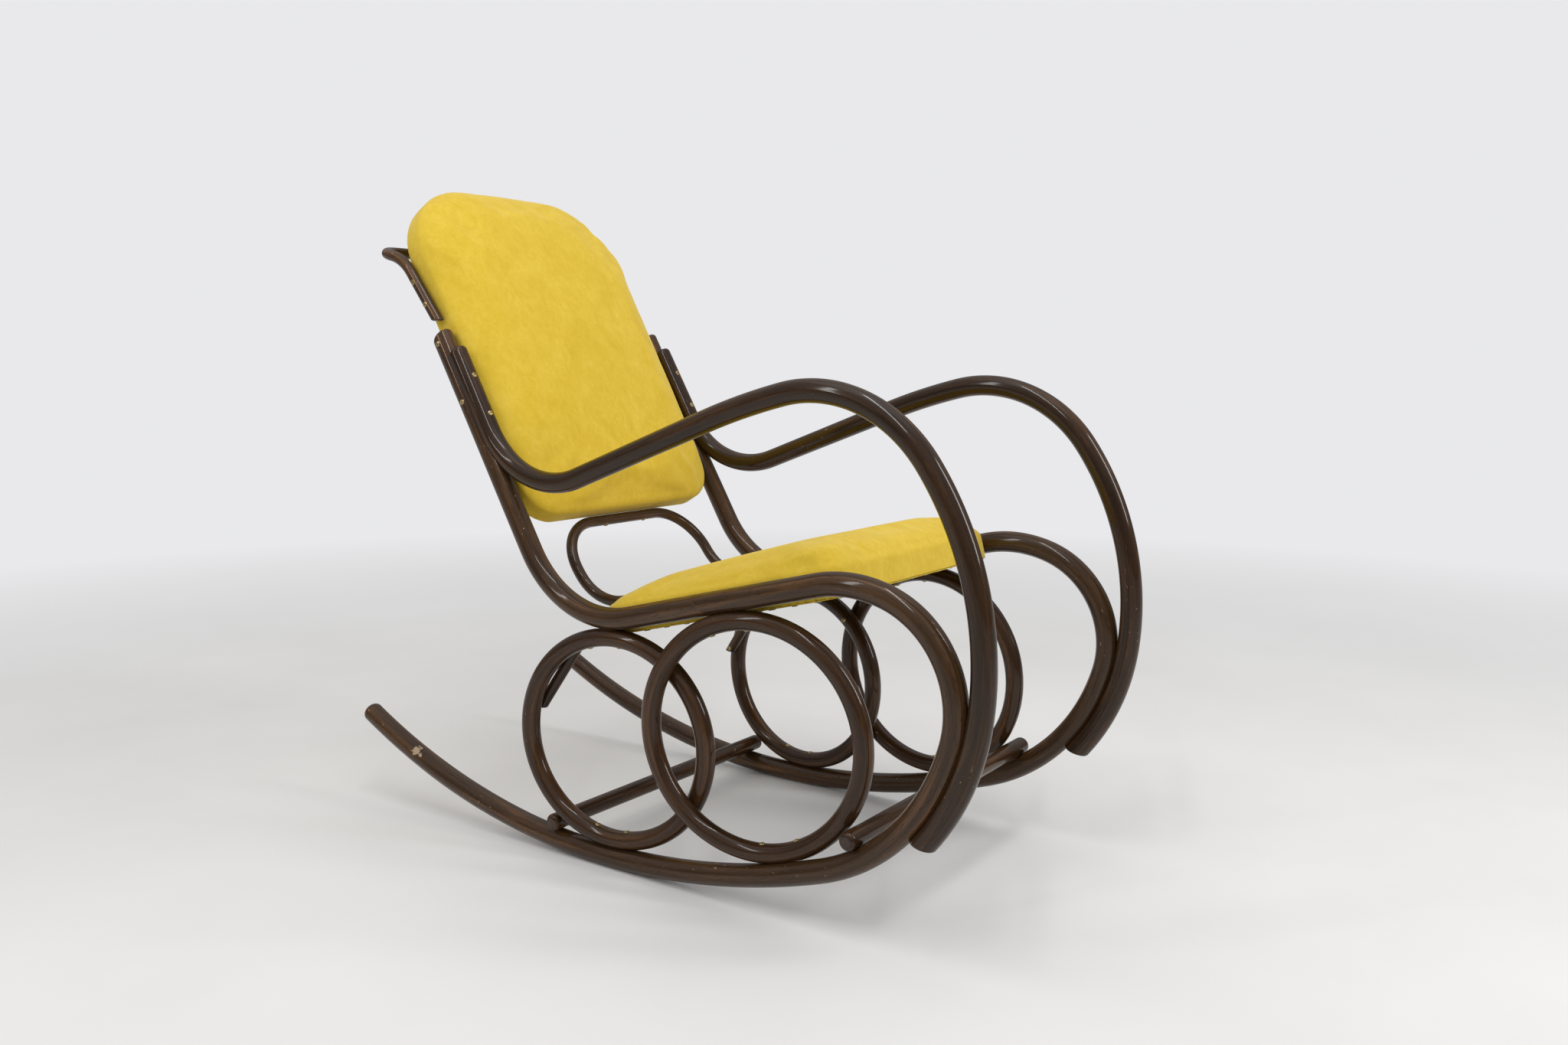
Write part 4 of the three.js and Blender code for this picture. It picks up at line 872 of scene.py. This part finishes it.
# crown is the height from the panel's start to its end; a dent draws the cover in at a corner, and is given
# by its place along the panel, its height, how far it reaches along and up, and its depth
seatCushion = {
    **padCommon, "rim": seatAt["rim"], "side": 14.0, "crown": [40.0, 52.0, 60.0], "roundPart": 0.84,
    "rounder": {"startRound": 26.0, "endRound": 10.0}, "voxel": 7.0, "frameTop": 14.0, "hollowRoof": 16.6,
    "dents": [(300.0, 29.0, 30.0, 13.0, 8.0), (214.0, 33.0, 46.0, 13.0, 1.6)],
}
backCushion = {
    **padCommon, "rim": backAt["rim"], "side": 11.0, "crown": [36.0, 46.0, 56.0, 60.0, 52.0],
    "roundPart": 0.76, "rounder": {"startRound": 40.0, "endRound": 12.0}, "voxel": 8.0, "frameTop": 8.0,
    "hollowRoof": 10.6, "dents": [(150.0, 24.0, 90.0, 14.0, 1.2)],
}
for name, at, shape, look, fabric in (("seat_cushion", seatAt, panel["seat"], seatCushion, seatVelvet),
                                      ("back_cushion", backAt, panel["back"], backCushion, backVelvet)):
    piece = newPiece(name + "_cover", None, "velvet", [fabric], *stuffedForm(at, shape, look))
    evenMesh(piece, look)
    print("  even mesh")
    stuff(piece, at, look)
    print("  cloth settled")
    finishCushion(piece, at, shape, look)
    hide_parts(name)
    print(name, "stuffed")

# the rear cover: velvet tacked blind round its edge, so it puckers a little between the tacks
rearCover = {
    "inset": 1.6, "thick": 1.6, "bulge": 6.0, "edgeShare": 0.16, "tackEvery": 24.0, "pucker": 0.5,
    "puckerShare": 0.03, "roundPart": 0.75, "onFrame": 0.4,
    "inner": ((0.9, 0.2), (0.5, 0.2), (0.1, 0.2), (0.02, 0.15), (0.0, 0.0)),  # shares and heights inside
    "outerShares": (0.0, 0.008, 0.018, 0.035, 0.06, 0.1, 0.16, 0.25, 0.4, 0.6, 0.8, 0.99),
}


# A share t of the way in the cover stands out by bulge (p q + (1 - p) t), with q the quarter circle of its
# edge, and by a wave round that edge which dies away inwards.
def rearCoverShape(at, shape, look):
    outline = roundedOutline(shape, look["inset"], 30, 44)
    wave = look["pucker"] * np.sin(2 * math.pi * distancesAlong(outline)[0] / look["tackEvery"])
    rows = []
    for share, height in look["inner"]:
        x, y = drawnIn(shape, outline, share)
        rows.append(onPanel(at, x, bowed(shape, x, y), at["rim"] + look["thick"] + height))
    for share in look["outerShares"]:
        edge = math.sqrt(1 - (1 - min(1, share / look["edgeShare"])) ** 2)
        out = look["bulge"] * (look["roundPart"] * edge + (1 - look["roundPart"]) * share)
        out = out + wave * math.exp(-share / look["puckerShare"]) * edge
        x, y = drawnIn(shape, outline, share)
        rows.append(onPanel(at, x, bowed(shape, x, y), at["rim"] + look["onFrame"] - out))
    return closedSkin(rows)


piece = newPiece("back_rear_cover_velvet", "back_rear_cover", "velvet", [backVelvet],
                 *rearCoverShape(backAt, panel["back"], rearCover))

# under the seat: the velvet's turned-in edge, then dust cloth stapled over it with a frayed edge
hem = {"from": 2.9, "to": 26.0, "top": -20.6, "low": -22.2}
hemRows = []
for inset, height in (("from", "low"), ("from", "top"), ("to", "top"), ("to", "low")):
    outline = roundedOutline(panel["seat"], hem[inset])
    hemRows.append(onPanel(seatAt, outline[:, 0], outline[:, 1], hem[height]))
newPiece("seat_velvet_hem", None, "velvet", [seatVelvet], np.concatenate(hemRows),
         gridFaces(4, len(outline), closedRows=True).tolist(), sharpDeg=40)

dustCover = {"inset": 15.0, "fray": 1.6, "thick": 0.7, "sag": 3.0, "top": -22.35,
             "shares": (0.99, 0.7, 0.4, 0.2, 0.08, 0.0)}
outline = roundedOutline(panel["seat"], dustCover["inset"], 24, 60)
run = distancesAlong(outline)[0]
fray = dustCover["fray"] * (np.sin(run / 7.1) + 0.7 * np.sin(run / 3.3 + 1) + 0.5 * np.sin(run / 1.9 + 2)) / 2
outward = outline - outline.mean(0)
outline = outline + outward / np.linalg.norm(outward, axis=1)[:, None] * fray[:, None]
rows = []
for shares, lower in ((dustCover["shares"], 0), (dustCover["shares"][::-1], dustCover["thick"])):
    for share in shares:
        sag = dustCover["sag"] * (1 - (1 - share) ** 2)
        rows.append(onPanel(seatAt, *drawnIn(panel["seat"], outline, share), dustCover["top"] - sag - lower))
newPiece("seat_dust_cover", "seat_lining", "dust_cover", [dustCloth], *closedSkin(rows), sharpDeg=50)

# staples: flat wire crowns set a little askew along the dust cover, as one piece
staples = {"inset": 21.0, "first": 12.0, "every": 38.0, "length": 10.0, "wire": 1.1, "proud": 0.6,
           "legs": 2.0, "lean": 0.3, "askew": 0.25, "outside": 0.2}
outline = roundedOutline(panel["seat"], staples["inset"], 40, 160)
run, around = distancesAlong(outline)
spots = np.arange(staples["first"], around, staples["every"])
middles, nexts = (np.stack([np.interp(at, run, outline[:, k]) for k in (0, 1)], 1)
                  for at in (spots, spots + 1))
along = (nexts - middles) / np.linalg.norm(nexts - middles, axis=1)[:, None]
along += staples["askew"] * np.sin(spots / 17.0)[:, None] * along[:, ::-1] * np.array([-1, 1])
across = np.stack([-along[:, 1], along[:, 0]], 1)
# four rows of four corners: the outer rows are the legs' ends, the inner ones the bends of the crown
half, leg = staples["length"] / 2, -staples["legs"]
aside, face = np.array([[-1, 1, 1, -1], [-1, -1, 1, 1]]) * staples["wire"] / 2
lengthwise = np.array([-half, staples["lean"] - half, half - staples["lean"], half])[:, None]
lengthwise = lengthwise + np.array([-1, 0, 0, 1])[:, None] * face
outwards = np.array([leg, staples["proud"], staples["proud"], leg])[:, None]
outwards = outwards + np.array([0, 1, 1, 0])[:, None] * face
flat = (middles[:, None, None] + along[:, None, None] * lengthwise[..., None]
        + across[:, None, None] * aside[:, None])
underside = dustCover["top"] - dustCover["thick"] - staples["outside"]
points = onPanel(seatAt, flat[..., 0], flat[..., 1], underside - outwards)
one = np.concatenate([gridFaces(4, 4), [[3, 2, 1, 0], [12, 13, 14, 15]]])
faces = (one + 16 * np.arange(len(spots))[:, None, None]).reshape(-1, 4).tolist()
newPiece("seat_staples", None, None, [stapleSteel], points.reshape(-1, 3), faces, smooth=False)
print("covers and staples set")

# The drawn pieces that stay hidden inside the upholstery

for name, material in (("seat_frame", frameWood), ("back_frame", frameWood), ("seat_webbing", juteStrap),
                       ("back_webbing", juteStrap)):
    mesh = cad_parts[name].data
    mesh.materials.clear()
    mesh.materials.append(material)

# Floor, light and camera

studio = {
    "floorDeep": "#dad9d7", "floorPale": "#e0dfde", "skyColour": "#e9e9eb", "skyLight": 0.8,
    "mirrorLow": 0.12, "mirrorHigh": 0.85, "floorReach": 60.0, "fadeFrom": 1.4, "fadeTo": 3.8,
    "cameraAt": (-1.58958, -1.23195, 0.73209), "yawDeg": 35.207, "pitchDeg": -6.986, "lens": 29.77,
}
floorMesh = bpy.data.meshes.new("floor")
reach = studio["floorReach"]
floorMesh.from_pydata([(-reach, -reach, 0), (reach, -reach, 0), (reach, reach, 0), (-reach, reach, 0)], [],
                      [(0, 1, 2, 3)])
floor = bpy.data.objects.new("floor", floorMesh)
bpy.context.scene.collection.objects.link(floor)
floorPaint, add, shader = newMaterial("floorPaintedMatt")
spot = add("TexCoord", output="Object")
marks = pattern(add, spot, (600, 600, 600), 4.0, 0.6)
marks = add("ValToRGB", [marks], stops=[(0.3, studio["floorDeep"]), (0.7, studio["floorPale"])])
setInputs(shader, {"Base Color": marks, "Roughness": 0.5, "Specular IOR Level": 0.3})
# to the eye the floor fades into the backdrop's tone with distance from the chair
away = add("VectorMath", [spot], "Value", operation="LENGTH")
away = add("MapRange", [away, studio["fadeFrom"], studio["fadeTo"]])
far = add("Math", [away, add("LightPath", output="Is Camera Ray")], operation="MULTIPLY")
glow = add("Emission", {"Color": studio["skyColour"], "Strength": 1.0})
setInputs(floorPaint.node_tree.nodes["Material Output"],
          {"Surface": add("MixShader", [far, shader.outputs[0], glow])})
floorMesh.materials.append(floorPaint)

world = bpy.data.worlds.new("studio")
bpy.context.scene.world = world
world.use_nodes = True
world.node_tree.nodes.clear()
add = partial(addNode, world.node_tree)
lit = add("Background", {"Color": "#ffffff", "Strength": studio["skyLight"]})
# in the lacquer the room is mirrored pale overhead and dimmer towards the horizon
height = add("SeparateXYZ", [add("TexCoord", output="Generated")], "Z")
pale = add("MapRange", [height, 0.0, 0.9, studio["mirrorLow"], studio["mirrorHigh"]])
room = add("Background", {"Color": studio["skyColour"], "Strength": pale})
shown = add("Background", {"Color": studio["skyColour"], "Strength": 1.0})
mirrored = add("MixShader", [add("LightPath", output="Is Glossy Ray"), lit, room])
mixed = add("MixShader", [add("LightPath", output="Is Camera Ray"), mirrored, shown])
add("OutputWorld", {"Surface": mixed})

lamps = {  # each lamp's place, what it is turned to, its width and height in metres, and its watts
    "ceilingBox": ((-0.3, -0.2, 2.7), (0, 0, 0.3), (2.4, 1.4), 7),
    "ceilingStrip": ((-0.9, -0.5, 2.3), (0, 0, 0.4), (0.09, 1.5), 10),
    "leftBox": ((-2.2, 0.9, 2.0), (0, 0, 0.5), (0.16, 1.6), 9),
    "rightBox": ((0.7, -2.4, 1.8), (0, 0, 0.5), (0.4, 1.4), 22),
}
for name, (at, towards, (width, high), watts) in lamps.items():
    lamp = bpy.data.lights.new(name, "AREA")
    lamp.shape = "RECTANGLE"
    lamp.size, lamp.size_y, lamp.energy = width, high, watts
    light = bpy.data.objects.new(name, lamp)
    bpy.context.scene.collection.objects.link(light)
    light.location = at
    x, y, z = np.array(towards) - np.array(at)
    light.rotation_euler = (math.atan2(math.hypot(x, y), -z), 0, math.atan2(x, -y) + math.pi)

camera = bpy.data.objects.new("camera", bpy.data.cameras.new("camera"))
bpy.context.scene.collection.objects.link(camera)
camera.location = studio["cameraAt"]
camera.rotation_euler = (math.radians(90 + studio["pitchDeg"]), 0, math.radians(studio["yawDeg"] - 90))
camera.data.sensor_width, camera.data.lens = 36.0, studio["lens"]
camera.data.clip_start, camera.data.clip_end = 0.05, 100.0
bpy.context.scene.camera = camera
bpy.context.scene.view_settings.view_transform = "Standard"
print("studio ready")
